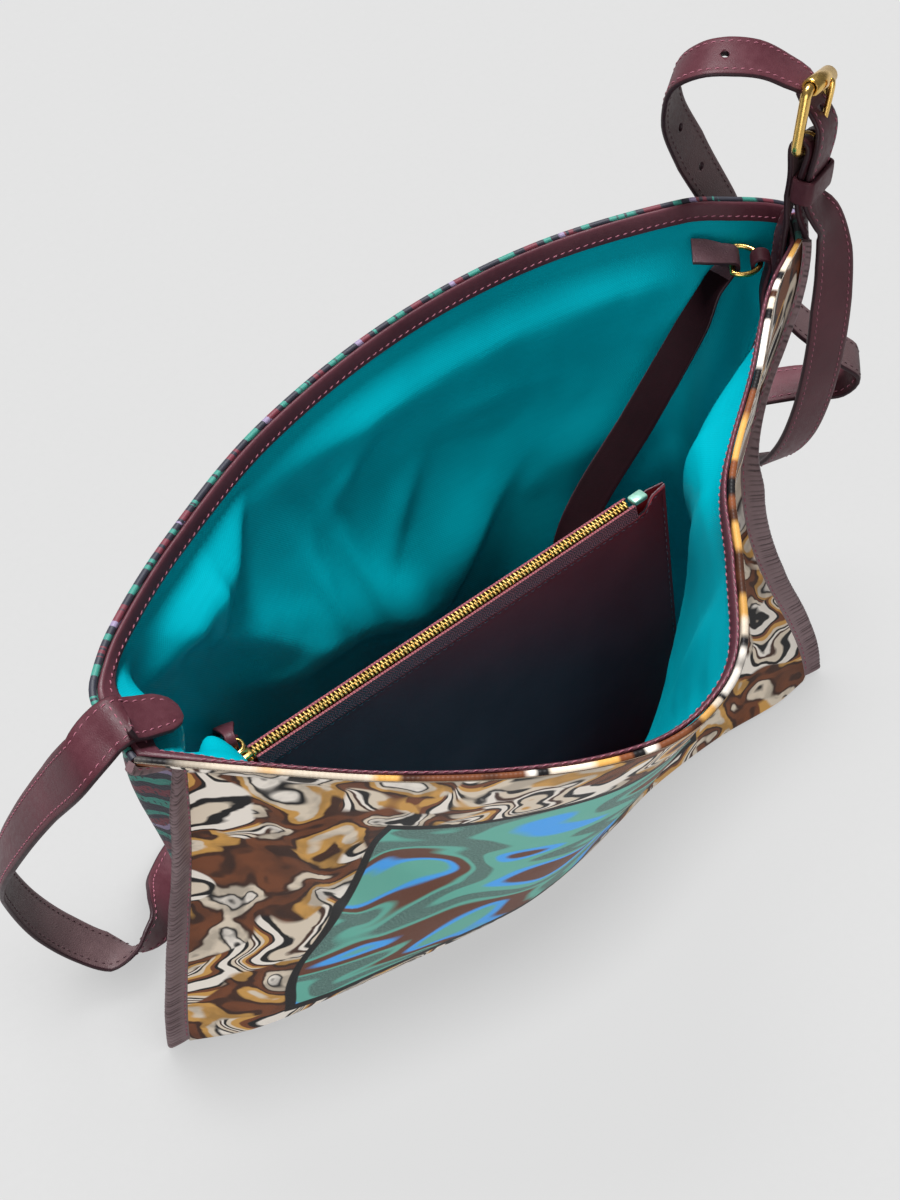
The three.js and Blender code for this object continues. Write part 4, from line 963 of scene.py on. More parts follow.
def wall(side, u, v):
    """Outer face of a panel: u along it from the left seam, v up it from the ground to the rim."""
    u, v = np.broadcast_arrays(np.asarray(u, float), np.asarray(v, float))
    sign = -1 if side == "front" else 1
    rim_x, rim_y, rim_z = (table_value(RIM[side], column, u) for column in "xyz")
    depth = foot_depth(side, u)
    z = v * rim_z
    radius = np.minimum(FOOT_RADIUS, depth / 2)
    inset = radius - np.sqrt(np.maximum(radius**2 - np.clip(radius - z, 0, None) ** 2, 0))
    place = np.stack([mix(BASE_LENGTH * (u - 0.5), rim_x, v), mix(sign * (depth - inset), rim_y, v), z], -1)
    for seam, dx, dy, peak, reach in SEAM_PULL:
        share = pull_profile(v, peak) * np.exp(-(((u - seam) / reach) ** 2))
        place = place + share[..., None] * np.array([dx, dy, 0.0])
    return place + dent_push(PANEL_DENTS, side, u, v)


def inward(side, u, v):
    """Direction into the bag, square to a panel; straight up on the ground."""
    h = 0.003
    along = wall(side, np.minimum(u + h, 1), v) - wall(side, np.maximum(u - h, 0), v)
    up = wall(side, u, np.minimum(v + h, 1)) - wall(side, u, np.maximum(v - h, 0))
    normal = unit(np.cross(along, up)) * (-1 if side == "front" else 1)
    return np.where((np.broadcast_to(v, u.shape) == 0)[..., None], np.array([0.0, 0.0, 1.0]), normal)


def inside(side, u, v, depth):
    """A place at a depth inside a panel; on the ground it also keeps clear of a tight foot."""
    u, v, depth = np.broadcast_arrays(np.asarray(u, float), np.asarray(v, float), np.asarray(depth, float))
    place = wall(side, u, v) + depth[..., None] * inward(side, u, v)
    radius = np.minimum(FOOT_RADIUS, foot_depth(side, u) / 2)
    step = np.maximum(0, depth + LAYER_GAP - radius) * ((v == 0) & (depth > PANEL_THICKNESS))
    place[..., 1] += step if side == "front" else -step
    return place


def seam_frame(end, v):
    """Corner of a side seam: its place, the way in, across it, half its angle, panel length for each u."""
    v = np.asarray(v, float)
    u, step = (0.0, SEAM_STEP) if end == "left" else (1.0, -SEAM_STEP)
    corner = wall("front", u, v)
    above, below = np.minimum(v + LEVEL_STEP, 1), np.maximum(v - LEVEL_STEP, 0)
    up = unit(wall("front", u, above) - wall("front", u, below))
    ways = {}
    for side in ("front", "back"):
        way = wall(side, u + step, v) - corner
        ways[side] = way - (way * up).sum(-1, keepdims=True) * up
    lengths = {side: np.linalg.norm(way, axis=-1) / SEAM_STEP for side, way in ways.items()}
    front, back = unit(ways["front"]), unit(ways["back"])
    half = np.arccos(np.clip((front * back).sum(-1), -1, 1)) / 2
    way_in = unit(front + back)
    across = unit(np.cross(up, way_in))
    across = across * np.sign((across * front).sum(-1, keepdims=True))
    return {"corner": corner, "in": way_in, "across": across, "half": half, "lengths": lengths}


def panel_trim(seam):
    return (SEAM_GAP / 2 + PANEL_THICKNESS * np.cos(seam["half"])) / np.sin(seam["half"])


def wall_levels(top, count):
    """Heights up a wall, following the round foot and closer together by the rim."""
    arc = FOOT_RADIUS * (1 - np.cos(np.linspace(0, np.pi / 2, FOOT_LEVELS))) / PANEL_HEIGHT
    body = np.linspace(arc[-1], RIM_ZONE, count)
    return np.concatenate([arc, body[1:], np.linspace(RIM_ZONE, top, RIM_LEVELS)[1:]])


def flat_place(u, v):
    """Place on the cloth before sewing, from the middle of its foot."""
    length = mix(BASE_LENGTH, RIM_SPREAD * BASE_LENGTH, v)
    return np.stack([(u - 0.5) * length, v * PANEL_HEIGHT, np.zeros_like(u)], -1)


def make_panel(name, side, material):
    v = wall_levels(1.0, PANEL_ROWS)[:, None]
    left, right = seam_frame("left", v[:, 0]), seam_frame("right", v[:, 0])
    start = (panel_trim(left) / left["lengths"][side])[:, None]
    end = 1 - (panel_trim(right) / right["lengths"][side])[:, None]
    u = mix(start, end, np.linspace(0, 1, PANEL_COLUMNS)[None, :])
    v = np.broadcast_to(v, u.shape)
    into = inward(side, u, v)
    outer = wall(side, u, v) + crease_push(PANEL_CREASES, side, u, v)[..., None] * into
    depth = mix(PANEL_THICKNESS, HEM_DEPTH, smooth_step(v, *HEM_FOOT))
    inner = outer + depth[..., None] * into
    flat = flat_place(u, v)
    up = unit(outer[-1] - outer[-2])
    middle, reach = (outer[-1] + inner[-1]) / 2, (inner[-1] - outer[-1]) / 2
    turns = np.radians(HEM_ROLL)[:, None, None]
    rise = HEM_RISE * np.linalg.norm(reach, axis=-1, keepdims=True)
    rolled = middle - reach * np.cos(turns) + up * rise * np.sin(turns)
    rows = [outer, rolled, inner[::-1]]
    turned = flat * np.array([HEM_PRINT[side], 1.0, 1.0])
    flats = [flat, np.repeat(turned[-1:], len(HEM_ROLL), 0), turned[::-1]]
    if side == "front":
        back_left, back_right = seam_frame("left", 0.0), seam_frame("right", 0.0)
        u_low = panel_trim(back_left) / back_left["lengths"]["back"]
        u_high = 1 - panel_trim(back_right) / back_right["lengths"]["back"]
        u_back = np.linspace(u_low, u_high, PANEL_COLUMNS)
        edge = wall("back", u_back, 0.0) - np.array([0.0, SEAM_GAP, 0.0])
        shares = np.linspace(0, 1, BASE_ROWS, endpoint=False)[:, None, None]
        base = mix(edge[None], outer[:1], shares)
        base_flat = np.repeat(flat[:1], BASE_ROWS, 0)
        base_flat[..., 1] -= np.linalg.norm(base - outer[:1], axis=-1)
        rows = [base, *rows, (base + np.array([0.0, 0.0, PANEL_THICKNESS]))[::-1]]
        flats = [base_flat, *flats, base_flat[::-1]]
    sections = np.concatenate(rows).transpose(1, 0, 2)
    piece = dress(name, sections, [material], flat=np.concatenate(flats).transpose(1, 0, 2))


def ring_place(v, depth, columns, creases=(), folds=(), top=1.0):
    """Closed rings round the inside of the bag, one for each height, mitred at the seams."""
    v, depth = np.broadcast_arrays(np.asarray(v, float), np.asarray(depth, float))
    shares = np.linspace(0, 1, columns)[None, :]
    sides = {}
    frames = [seam_frame(end, np.minimum(v, 1)) for end in ("left", "right")]
    for side in ("front", "back"):
        mitres = [(depth / np.tan(f["half"]) / f["lengths"][side])[:, None] for f in frames]
        u = mix(mitres[0], 1 - mitres[1], shares)
        rows = np.broadcast_to(v[:, None], u.shape)
        place = inside(side, u, rows, depth[:, None]) + dent_push(folds, side, u, rows, top)
        push = np.maximum(crease_push(creases, side, u, rows, top), -OUTWARD_LIMIT)
        push = push + crease_push(PANEL_CREASES, side, u, rows)
        place = place + push[..., None] * inward(side, u, rows)
        sides[side] = (place, flat_place(u, rows))
    front, back = sides["front"][0], sides["back"][0]
    for end in (0, -1):
        front[:, end] = (front[:, end] + back[:, end]) / 2
    ring = np.concatenate([front, back[:, -2:0:-1]], 1)
    flat = np.concatenate([sides["front"][1], sides["back"][1][:, -2:0:-1]], 1)
    return ring, flat


def rumple(points, size, height, seed):
    """A gentle unevenness of cloth at each point."""
    shift = Vector((seed, 2.3 * seed, 0.7 * seed))
    return height * np.array([noise.noise(Vector(p) / size + shift) for p in points.reshape(-1, 3)])


def make_lining():
    columns = LINING_COLUMNS
    levels = wall_levels(LINING_TOP, LINING_ROWS)
    folds = (LINING_CREASES, LINING_FOLDS, FACING_FOOT)
    grids, flats = [], []
    for depth in (LINING_DEPTH, LINING_DEPTH + LINING_THICKNESS):
        grid, flat = ring_place(levels, np.full(len(levels), depth), columns, *folds)
        grids.append(grid)
        flats.append(flat)
    count, size = grids[0].shape[:2]
    into = unit(grids[1] - grids[0])
    fade = np.clip(np.minimum(8 * levels, 10 * (FACING_FOOT - levels)), 0, 1)[:, None, None]
    lift = sum(rumple(grids[0], *row) for row in LINING_RUMPLE)
    lift = np.maximum(lift, 0).reshape(count, size, 1) * fade
    grids = [grid + lift * into for grid in grids]
    faces = []
    layer = count * size
    for quad in ring_faces(count, size):
        faces.append(quad)
        faces.append(tuple(layer + corner for corner in reversed(quad)))
    top = (count - 1) * size
    for k in range(size):
        m = (k + 1) % size
        faces.append((top + k, top + m, layer + top + m, layer + top + k))
    behind = [0] + [size - k for k in range(1, columns - 1)] + [columns - 1]
    for k in range(columns - 1):
        floor = [k, k + 1, behind[k + 1], behind[k]]
        floor = list(dict.fromkeys(floor))
        faces.append(tuple(reversed(floor)))
        faces.append(tuple(layer + corner for corner in floor))
    piece = add_piece("lining", np.stack(grids), faces, [LINING_CLOTH], flat=np.stack(flats), crease=80)
    stand_for(piece, "lining")


# Sewing

def stitch_form():
    """One short stitch along X, its ends sunk below its middle: points and faces."""
    sides, rings = STITCH_SIDES, STITCH_RINGS
    points = []
    for share in np.linspace(-1, 1, rings):
        girth = STITCH_RADIUS * math.sqrt(1 - 0.75 * share**2)
        lift = STITCH_RADIUS * (0.6 - 1.3 * share**2)
        for angle in 2 * math.pi * np.arange(sides) / sides:
            across, up = girth * math.cos(angle), girth * math.sin(angle)
            points.append((STITCH_LENGTH / 2 * share, across, lift + up))
    faces = ring_faces(rings, sides)
    faces.append(tuple(range(sides)))
    faces.append(tuple(reversed(range((rings - 1) * sides, rings * sides))))
    return np.array(points), faces


def lengths_along(line):
    """How far along a line each of its points lies."""
    return np.concatenate([[0], np.cumsum(np.linalg.norm(np.diff(line, axis=0), axis=1))])


def read_along(marks, travelled, values):
    return np.stack([np.interp(marks, travelled, values[:, k]) for k in range(3)], 1)


def sew(name, lines, material, slant=0.0):
    """Stitches at even steps along lines, each given as its points and the way out of its surface."""
    form, form_faces = stitch_form()
    points, faces = [], []
    for line, out in lines:
        travelled = lengths_along(line)
        marks = np.arange(STITCH_PITCH, travelled[-1] - STITCH_PITCH / 2, STITCH_PITCH)
        middle = read_along(marks, travelled, line)
        ahead = read_along(marks + STITCH_AHEAD, travelled, line)
        normal = unit(read_along(marks, travelled, out))
        along = square_to(ahead - middle, normal)
        across = np.cross(normal, along)
        along = unit(along + slant * across)
        across = np.cross(normal, along)
        for p, x, y, z in zip(middle, along, across, normal):
            faces.extend(tuple(len(points) * len(form) + corner for corner in face) for face in form_faces)
            points.append(p + form @ np.stack([x, y, z]))
    piece = add_piece(name, np.array(points), faces, [material], crease=180)


def make_facing():
    rings, _ = ring_place(*np.array(FACING_PROFILE).T, FACING_COLUMNS)
    dress("rim_facing", rings.transpose(1, 0, 2), [FACING_SKIN], crease=70, loop=True)
    rings, _ = ring_place(*np.array(RIM_STITCH_PLACES).T, FACING_COLUMNS)
    low, low_out = rings[0], unit(rings[1] - rings[0])
    closed = np.concatenate([low, low[:1]]), np.concatenate([low_out, low_out[:1]])
    top = rings[2][8 : FACING_COLUMNS - 8]
    top_out = np.tile([0.0, 0.0, 1.0], (len(top), 1))
    sew("rim_stitches", [closed, (top, top_out)], PINK_THREAD, 0.18)


def wrinkles(v, seed):
    """Uneven gathers across a binding: 1 in the middle of each groove and 0 between them."""
    chance = np.random.default_rng(seed)
    depth = np.zeros_like(v)
    place = 0.0
    while place < PANEL_HEIGHT:
        place += RIB_PITCH * chance.uniform(0.55, 1.6)
        groove = np.exp(-(((v * PANEL_HEIGHT - place) / RIB_WIDTH) ** 2))
        depth = np.maximum(depth, chance.uniform(0.35, 1.0) * groove)
    return depth


def make_binding(name, end):
    """Leather folded over a side seam, gathered over its edge and sewn along its inner edge."""
    half = BINDING_THICKNESS / 2
    lap = -BINDING_LAP / BINDING_WIDTH
    outline = [(lap, 0.80), (0.8 * lap, 0.98), (0.0, 0.90), (0.15, 1.0), (0.4, 1.04)]
    outline += [(0.65, 1.04), (0.86, 0.96), (0.96, 0.65), (1.0, 0.0)]
    outline = outline + [(out, -side) for out, side in reversed(outline[:-1])]
    outs, sides = np.array(outline).T
    v = np.linspace(BINDING_FOOT, 1, BINDING_ROWS)
    seam = seam_frame(end, v)
    start = panel_trim(seam) * np.cos(seam["half"]) - 1.6 * SEAM_GAP
    share = mix(1.0, BINDING_NARROW, smooth_step(v, *BINDING_TAPER[end]))
    wander = rumple(seam["corner"], *BINDING_RUMPLE)
    front, back = wrinkles(v, 3), wrinkles(v, 5)
    grooves = np.where(sides[None, :] > 0, front[:, None], back[:, None]) * smooth_step(outs, 0.05, 0.4)
    reach = (start + wander)[:, None] - (outs[None, :] - 0.02 * grooves) * BINDING_WIDTH * share[:, None]
    width = sides[None, :] * half - np.sign(sides)[None, :] * RIB_HEIGHT * grooves
    across = width[..., None] * seam["across"][:, None]
    sections = seam["corner"][:, None] + reach[..., None] * seam["in"][:, None] + across
    # the flat attribute carries the groove depth, which the binding's material paints as shade
    flat = np.zeros_like(sections)
    flat[..., 0] = grooves
    dress(name, sections, [RIBBED], flat=flat, crease=60)
    lines = []
    for sign in (1, -1):
        out = sign * seam["across"]
        line = seam["corner"] + (start + wander)[:, None] * seam["in"] + BINDING_STITCH_LEVEL * half * out
        lines.append((line[6::4], out[6::4]))
    sew(name + "_stitches", lines, PINK_THREAD)


# Straps

def spline(rows, step):
    """Points of a smooth strip through the rows of a route, about a step apart, with all their columns."""
    rows = np.array(rows, float)
    ends = [2 * rows[0] - rows[1], *rows, 2 * rows[-1] - rows[-2]]
    placed = []
    for i in range(len(rows) - 1):
        a, b, c, d = ends[i : i + 4]
        gaps = [max(np.linalg.norm((q - p)[:3]) ** 0.5, 1e-6) for p, q in ((a, b), (b, c), (c, d))]
        leave = gaps[1] * ((b - a) / gaps[0] - (c - a) / (gaps[0] + gaps[1]) + (c - b) / gaps[1])
        arrive = gaps[1] * ((c - b) / gaps[1] - (d - b) / (gaps[1] + gaps[2]) + (d - c) / gaps[2])
        leave[3:], arrive[3:] = c[3:] - b[3:], c[3:] - b[3:]
        cuts = max(2, round(np.linalg.norm((c - b)[:3]) / step))
        for t in np.arange(cuts + (i == len(rows) - 2)) / cuts:
            ease = t * t * (3 - 2 * t)
            placed.append(b + (c - b) * ease + t * (1 - t) ** 2 * leave - t * t * (1 - t) * arrive)
    return np.array(placed)


def lay_strap(rows, step=STRAP_STEP):
    """Centre, direction of travel, width direction, face direction and share of width along a route."""
    placed = spline(rows, step)
    centre = placed[:, :3]
    along = unit(np.gradient(centre, axis=0))
    width = square_to(placed[:, 3:6], along)
    return {"centre": centre, "width": width, "face": np.cross(along, width), "wide": placed[:, 6]}


def strap_section():
    right = STRAP_SECTION + [(1.0, 0.0)] + [(side, -face) for side, face in reversed(STRAP_SECTION)]
    left = [(-side, face) for side, face in reversed(right[1:-1])]
    return np.array(right + left)


def strap_points(laid, width, thickness):
    profile = strap_section()
    side = profile[:, 0] * width / 2
    face = profile[:, 1] * thickness / 2
    narrow = laid["wide"][:, None] * side[None, :]
    across = narrow[..., None] * laid["width"][:, None]
    return laid["centre"][:, None] + across + face[None, :, None] * laid["face"][:, None]


def strap_bands(count, back):
    """Material of each face of a strap: outer face, painted edge or back."""
    profile = strap_section()
    middles = (profile + np.roll(profile, -1, axis=0)) / 2
    bands = np.where(np.abs(middles[:, 0]) > 0.95, 1, np.where(middles[:, 1] > 0, 0, back))
    ends = len(profile) // 2 - 1
    return np.concatenate([np.tile(bands, count - 1), np.ones(2 * ends, int)])


def strap_stitch_lines(laid, width, thickness, first, last, face=1):
    """Both rows of stitches on one face of a strap, from one place along it to another."""
    pick = slice(first, last)
    out = face * laid["face"][pick]
    lines = []
    for side in (-1, 1):
        reach = side * (laid["wide"][pick] * width / 2 - STITCH_INSET)
        line = laid["centre"][pick] + reach[:, None] * laid["width"][pick]
        lines.append((line + STITCH_LEVEL * thickness * out, out))
    return lines


def cut(piece, cutters):
    """Takes the cutters' shapes out of a piece for good."""
    for cutter in cutters:
        modifier = piece.modifiers.new("cut", "BOOLEAN")
        modifier.operation = "DIFFERENCE"
        modifier.solver = "EXACT"
        modifier.object = cutter
    bpy.context.view_layer.update()
    evaluated = piece.evaluated_get(bpy.context.evaluated_depsgraph_get())
    mesh = bpy.data.meshes.new_from_object(evaluated)
    piece.modifiers.clear()
    piece.data = mesh
    for cutter in cutters:
        bpy.data.objects.remove(cutter)


def peg(centre, axis, radius, length):
    """A round cutter along an axis."""
    axis = unit(np.asarray(axis, float))
    side = unit(np.cross(axis, [0.31, 0.83, 0.46]))
    other = np.cross(axis, side)
    angles = around(20)
    ring = radius * (np.cos(angles)[:, None] * side + np.sin(angles)[:, None] * other)
    sections = np.stack([centre - axis * length / 2 + ring, centre + axis * length / 2 + ring])
    return add_piece("cutter", sections, loft(sections), [PLUM_EDGE])


def strap_piece(name, laid, thickness):
    """A long or short strap before its holes are cut."""
    points = strap_points(laid, STRAP_WIDTH, thickness)
    bands = strap_bands(len(points), 2)
    return add_piece(name, points, loft(points), [PLUM, PLUM_EDGE, PLUM_BACK], bands, crease=70)


def row_at(place, width, wide=1.0):
    return (*place, *width, wide)


BUCKLE_UP = unit(BUCKLE_RISE)
BUCKLE_ALONG = square_to(BUCKLE_AXIS, BUCKLE_UP)
BUCKLE_OUT = np.cross(BUCKLE_ALONG, BUCKLE_UP)


def on_buckle(axis, rise, out):
    return BUCKLE_BAR + axis * BUCKLE_ALONG + rise * BUCKLE_UP + out * BUCKLE_OUT


def across_panel(u, v):
    return unit(wall("back", u - SEAT_STEP, v) - wall("back", u + SEAT_STEP, v))


def on_panel(u, v, depth, wide=1.0):
    """A row of a strap that lies against the back panel, at a depth inside its face."""
    return row_at(inside("back", u, v, depth), across_panel(u, v), wide)


SEAT_MIDDLE = inside("back", BUCKLE_SEAT_U, 1.0, RIM_DEPTH / 2)
SEAT_RISE = unit(BUCKLE_BAR - SEAT_MIDDLE)


def on_short_strap(height, out):
    """Place, width and face of the short strap at a height above the rim, turning towards the buckle."""
    share = min(1.0, height / SHORT_STRAP_TWIST)
    width = square_to(mix(across_panel(BUCKLE_SEAT_U, 1.0), BUCKLE_ALONG, share), SEAT_RISE)
    face = np.cross(width, SEAT_RISE)
    return SEAT_MIDDLE + height * SEAT_RISE + out * face, width, face


def make_short_strap():
    half = SHORT_STRAP_THICKNESS / 2
    rows = []
    for v, clear, wide in SHORT_STRAP_LEVELS:
        rows.append(on_panel(BUCKLE_SEAT_U, v, RIM_DEPTH + LAYER_GAP + half + clear, wide))
    for height, spread in SHORT_STRAP_SPREAD:
        rows.append(row_at(*on_short_strap(height, -spread)[:2]))
    turn = WIRE_RADIUS + SEAM_GAP + half
    for angle in np.radians(np.arange(-180, 1, 30)):
        rows.append(row_at(on_buckle(0, -turn * math.sin(angle), turn * math.cos(angle)), BUCKLE_ALONG))
    for height, spread in reversed(SHORT_STRAP_SPREAD):
        rows.append(row_at(*on_short_strap(height, spread)[:2]))
    for v, clear, wide in reversed(SHORT_STRAP_LEVELS):
        rows.append(on_panel(BUCKLE_SEAT_U, v, -LAYER_GAP - half - clear / 2, wide))
    laid = lay_strap(rows, SHORT_STRAP_STEP)
    piece = strap_piece("buckle_strap", laid, SHORT_STRAP_PUFF)
    slot_half, slot_rise, slot_out = np.array([PRONG_RADIUS, turn, turn]) + SLOT_MARGIN
    corners = ((-1, -1), (1, -1), (1, 1), (-1, 1))
    sections = [
        [on_buckle(slot_half * x, slot_rise * y, out) for x, y in corners] for out in (-slot_out, slot_out)
    ]
    sections = np.array(sections)
    cut(piece, [add_piece("cutter", sections, loft(sections), [PLUM_EDGE])])
    stand_for(piece, "buckle_strap")
    heights = np.linalg.norm(laid["centre"] - BUCKLE_BAR, axis=1)
    near = int(np.argmin(heights))
    lines = strap_stitch_lines(laid, STRAP_WIDTH, SHORT_STRAP_PUFF, 4, near - 6)
    lines += strap_stitch_lines(laid, STRAP_WIDTH, SHORT_STRAP_PUFF, near + 6, -4)
    sew("buckle_strap_stitches", lines, DARK_THREAD, 0.15)


def prong_path():
    turn = WIRE_RADIUS + SEAM_GAP + PRONG_PLAY + PRONG_RADIUS
    rest = ROLLER_RADIUS + SEAM_GAP + PRONG_RADIUS
    turns = np.radians(np.arange(60, 331, 30))
    path = [on_buckle(0, turn * math.sin(angle), turn * math.cos(angle)) for angle in turns]
    path.append(on_buckle(0, BUCKLE_HEIGHT / 2, mix(turn, rest, 0.5)))
    path.append(on_buckle(0, BUCKLE_HEIGHT, rest))
    path.append(on_buckle(0, BUCKLE_HEIGHT + PRONG_TIP, rest - PRONG_DROP))
    return path


def strap_rows():
    half = STRAP_THICKNESS / 2
    rows = []
    for v, wide, clear in STRAP_TAB:
        rows.append(on_panel(STRAP_SEAT_U, v, RIM_DEPTH + LAYER_GAP + half + clear, wide))
    for depth, lift in STRAP_OVER_RIM:
        place = inside("back", STRAP_SEAT_U, 1.0, depth) + np.array([0.0, 0.0, lift])
        rows.append(row_at(place, across_panel(STRAP_SEAT_U, 1.0)))
    rows.extend(STRAP_ROUTE)
    for below, out in STRAP_THROUGH:
        rows.append(row_at(on_buckle(0, BUCKLE_HEIGHT - below, out), BUCKLE_ALONG))
    for height, out in STRAP_BY_KEEPER:
        rows.append(row_at(*on_short_strap(KEEPER_LIFT + height, TAIL_LIFT + out)[:2]))
    return rows + STRAP_TAIL


def make_strap():
    laid = lay_strap(strap_rows())
    piece = strap_piece("shoulder_strap", laid, STRAP_THICKNESS)
    centre = laid["centre"]
    prong_hole = on_buckle(0, BUCKLE_HEIGHT - PRONG_HOLE[0], PRONG_HOLE[1])
    fastened = int(np.argmin(np.linalg.norm(centre - prong_hole, axis=1)))
    travelled = lengths_along(centre[fastened::-1])
    cutters = []
    for k in range(HOLE_COUNT):
        i = fastened - int(np.searchsorted(travelled, HOLE_START + k * HOLE_SPACING))
        cutters.append(peg(centre[i], laid["face"][i], HOLE_RADIUS, 3 * STRAP_THICKNESS))
    low, high = prong_path()[-3:-1]
    middle = mix(low, high, PRONG_HOLE_SHARE)
    cutters.append(peg(middle, laid["face"][fastened], HOLE_RADIUS, PRONG_HOLE_LENGTH))
    cut(piece, cutters)
    stand_for(piece, "shoulder_strap")
    for name, face, material, slant in (
        ("strap_stitches", 1, PINK_THREAD, 0.15),
        ("strap_back_stitches", -1, DARK_THREAD, 0.0),
    ):
        sew(name, strap_stitch_lines(laid, STRAP_WIDTH, STRAP_THICKNESS, 2, -4, face), material, slant)
    crest = int(np.argmax(centre[:40, 2]))
    shares = np.linspace(-BAR_STITCH_REACH, BAR_STITCH_REACH, BAR_STITCH_POINTS)
    spread = shares[:, None] * STRAP_WIDTH * laid["width"][crest]
    line = centre[crest] + spread + BAR_STITCH_LEVEL * STRAP_THICKNESS * laid["face"][crest]
    out = np.tile(laid["face"][crest], (BAR_STITCH_POINTS, 1))
    sew("strap_bar_stitches", [(line, out)], PINK_THREAD)


def make_keeper():
    """A leather band round the short strap's front layer and the strap's tail."""
    place, width, face = on_short_strap(KEEPER_LIFT, 0.0)
    rise = np.cross(width, face)
    low, high = KEEPER_THICKNESS / 2, TAIL_LIFT + STRAP_THICKNESS / 2 + KEEPER_TOP_ROOM
    half_width = STRAP_WIDTH / 2 + LAYER_GAP + KEEPER_SIDE_ROOM
    mirrored = [(thick, -height) for thick, height in reversed(KEEPER_EDGE)]
    band = [(0, -1), (0, 1), *KEEPER_EDGE, (1.08, 0), *mirrored]
    sections = []
    for across, out, side_x, side_y in rounded_corners(half_width, low, high, KEEPER_CORNER, 6):
        section = []
        for thick, height in band:
            grow = thick * KEEPER_THICKNESS
            section.append(
                place
                + (across + grow * side_x) * width
                + (out + grow * side_y) * face
                + height * KEEPER_HEIGHT / 2 * rise
            )
        sections.append(section)
    dress("keeper_loop", np.array(sections), [PLUM], crease=60, loop=True)


# Metal

def wire(path, normal, radius, sides=20, loop=False, taper=0):
    """Sections of a round wire along points in a plane; taper rounds its last few sections."""
    path = np.array(path)
    if loop:
        along = np.roll(path, -1, axis=0) - np.roll(path, 1, axis=0)
    else:
        along = np.gradient(path, axis=0)
    normal = unit(np.asarray(normal, float))
    side = unit(np.cross(unit(along), normal))
    angles = around(sides)
    radii = np.full(len(path), radius)
    for k in range(taper):
        radii[len(path) - 1 - k] = radius * math.sqrt(1 - (1 - (k + 0.25) / (taper + 0.25)) ** 2)
    ring = np.cos(angles)[None, :, None] * side[:, None] + np.sin(angles)[None, :, None] * normal
    return path[:, None] + radii[:, None, None] * ring


def smooth_path(points, step):
    rows = [(*p, 0.0, 0.0, 0.0, 1.0) for p in points]
    return spline(rows, step)[:, :3]


def make_buckle():
    corners = rounded_corners(BUCKLE_HALF_WIDTH, 0, BUCKLE_HEIGHT, BUCKLE_CORNER, 8)
    path = [on_buckle(axis, rise, 0) for axis, rise, _, _ in corners]
    sections = wire(path, BUCKLE_OUT, WIRE_RADIUS, loop=True)
    dress("buckle_frame", sections, [BRASS], crease=60, loop=True)

    bore, half = WIRE_RADIUS + SEAM_GAP, ROLLER_LENGTH / 2
    profile = [
        (bore, -half),
        (bore + ROLLER_EDGE, -half - ROLLER_LIP),
        (ROLLER_RADIUS - ROLLER_EDGE, -half),
        (ROLLER_RADIUS, -half + ROLLER_EDGE),
    ]
    profile = profile + [(radius, -axis) for radius, axis in reversed(profile)]
    sections = []
    for angle in around(40):
        up, out = math.sin(angle), math.cos(angle)
        sections.append([on_buckle(axis, BUCKLE_HEIGHT + r * up, r * out) for r, axis in profile])
    dress("buckle_roller", np.array(sections), [BRASS], loop=True)

    sections = wire(smooth_path(prong_path(), 0.0008), BUCKLE_ALONG, PRONG_RADIUS, 16, taper=4)
    dress("buckle_prong", sections, [BRASS], crease=60)


# Pouch

def on_pouch(share, rise, out):
    """A place on the pouch's middle sheet, moved out towards the front."""
    share, rise, out = (np.asarray(x, float)[..., None] for x in np.broadcast_arrays(share, rise, out))
    bottom = mix(POUCH["bottom_left"], POUCH["bottom_right"], share)
    top = mix(POUCH["top_left"], POUCH["top_right"], share)
    along = unit(POUCH["top_right"] - POUCH["top_left"])
    front = unit(np.cross(along, unit(top - bottom)))
    return mix(bottom, top, rise) + out * front


def pouch_swell(share, rise):
    open_up = np.clip((rise - POUCH_FLARE) / (POUCH_TOP - POUCH_FLARE), 0, None)
    belly = POUCH_SWELL * np.sqrt(np.sin(np.pi * share)) * np.sin(np.pi * np.minimum(rise / POUCH_TOP, 1))
    mouth = ZIP_HALF_WIDTH * open_up**2 * np.minimum(1, np.minimum(12 * share, 12 * (1 - share)))
    return POUCH_SEAM + belly + mouth


def pouch_top(share):
    """Height of the leather's upper edge: below the zip's tape, and up to the corner beyond the zip."""
    return mix(POUCH_TOP, POUCH_END_TOP, smooth_step(share, ZIP_END + 0.020, ZIP_END + 0.050))


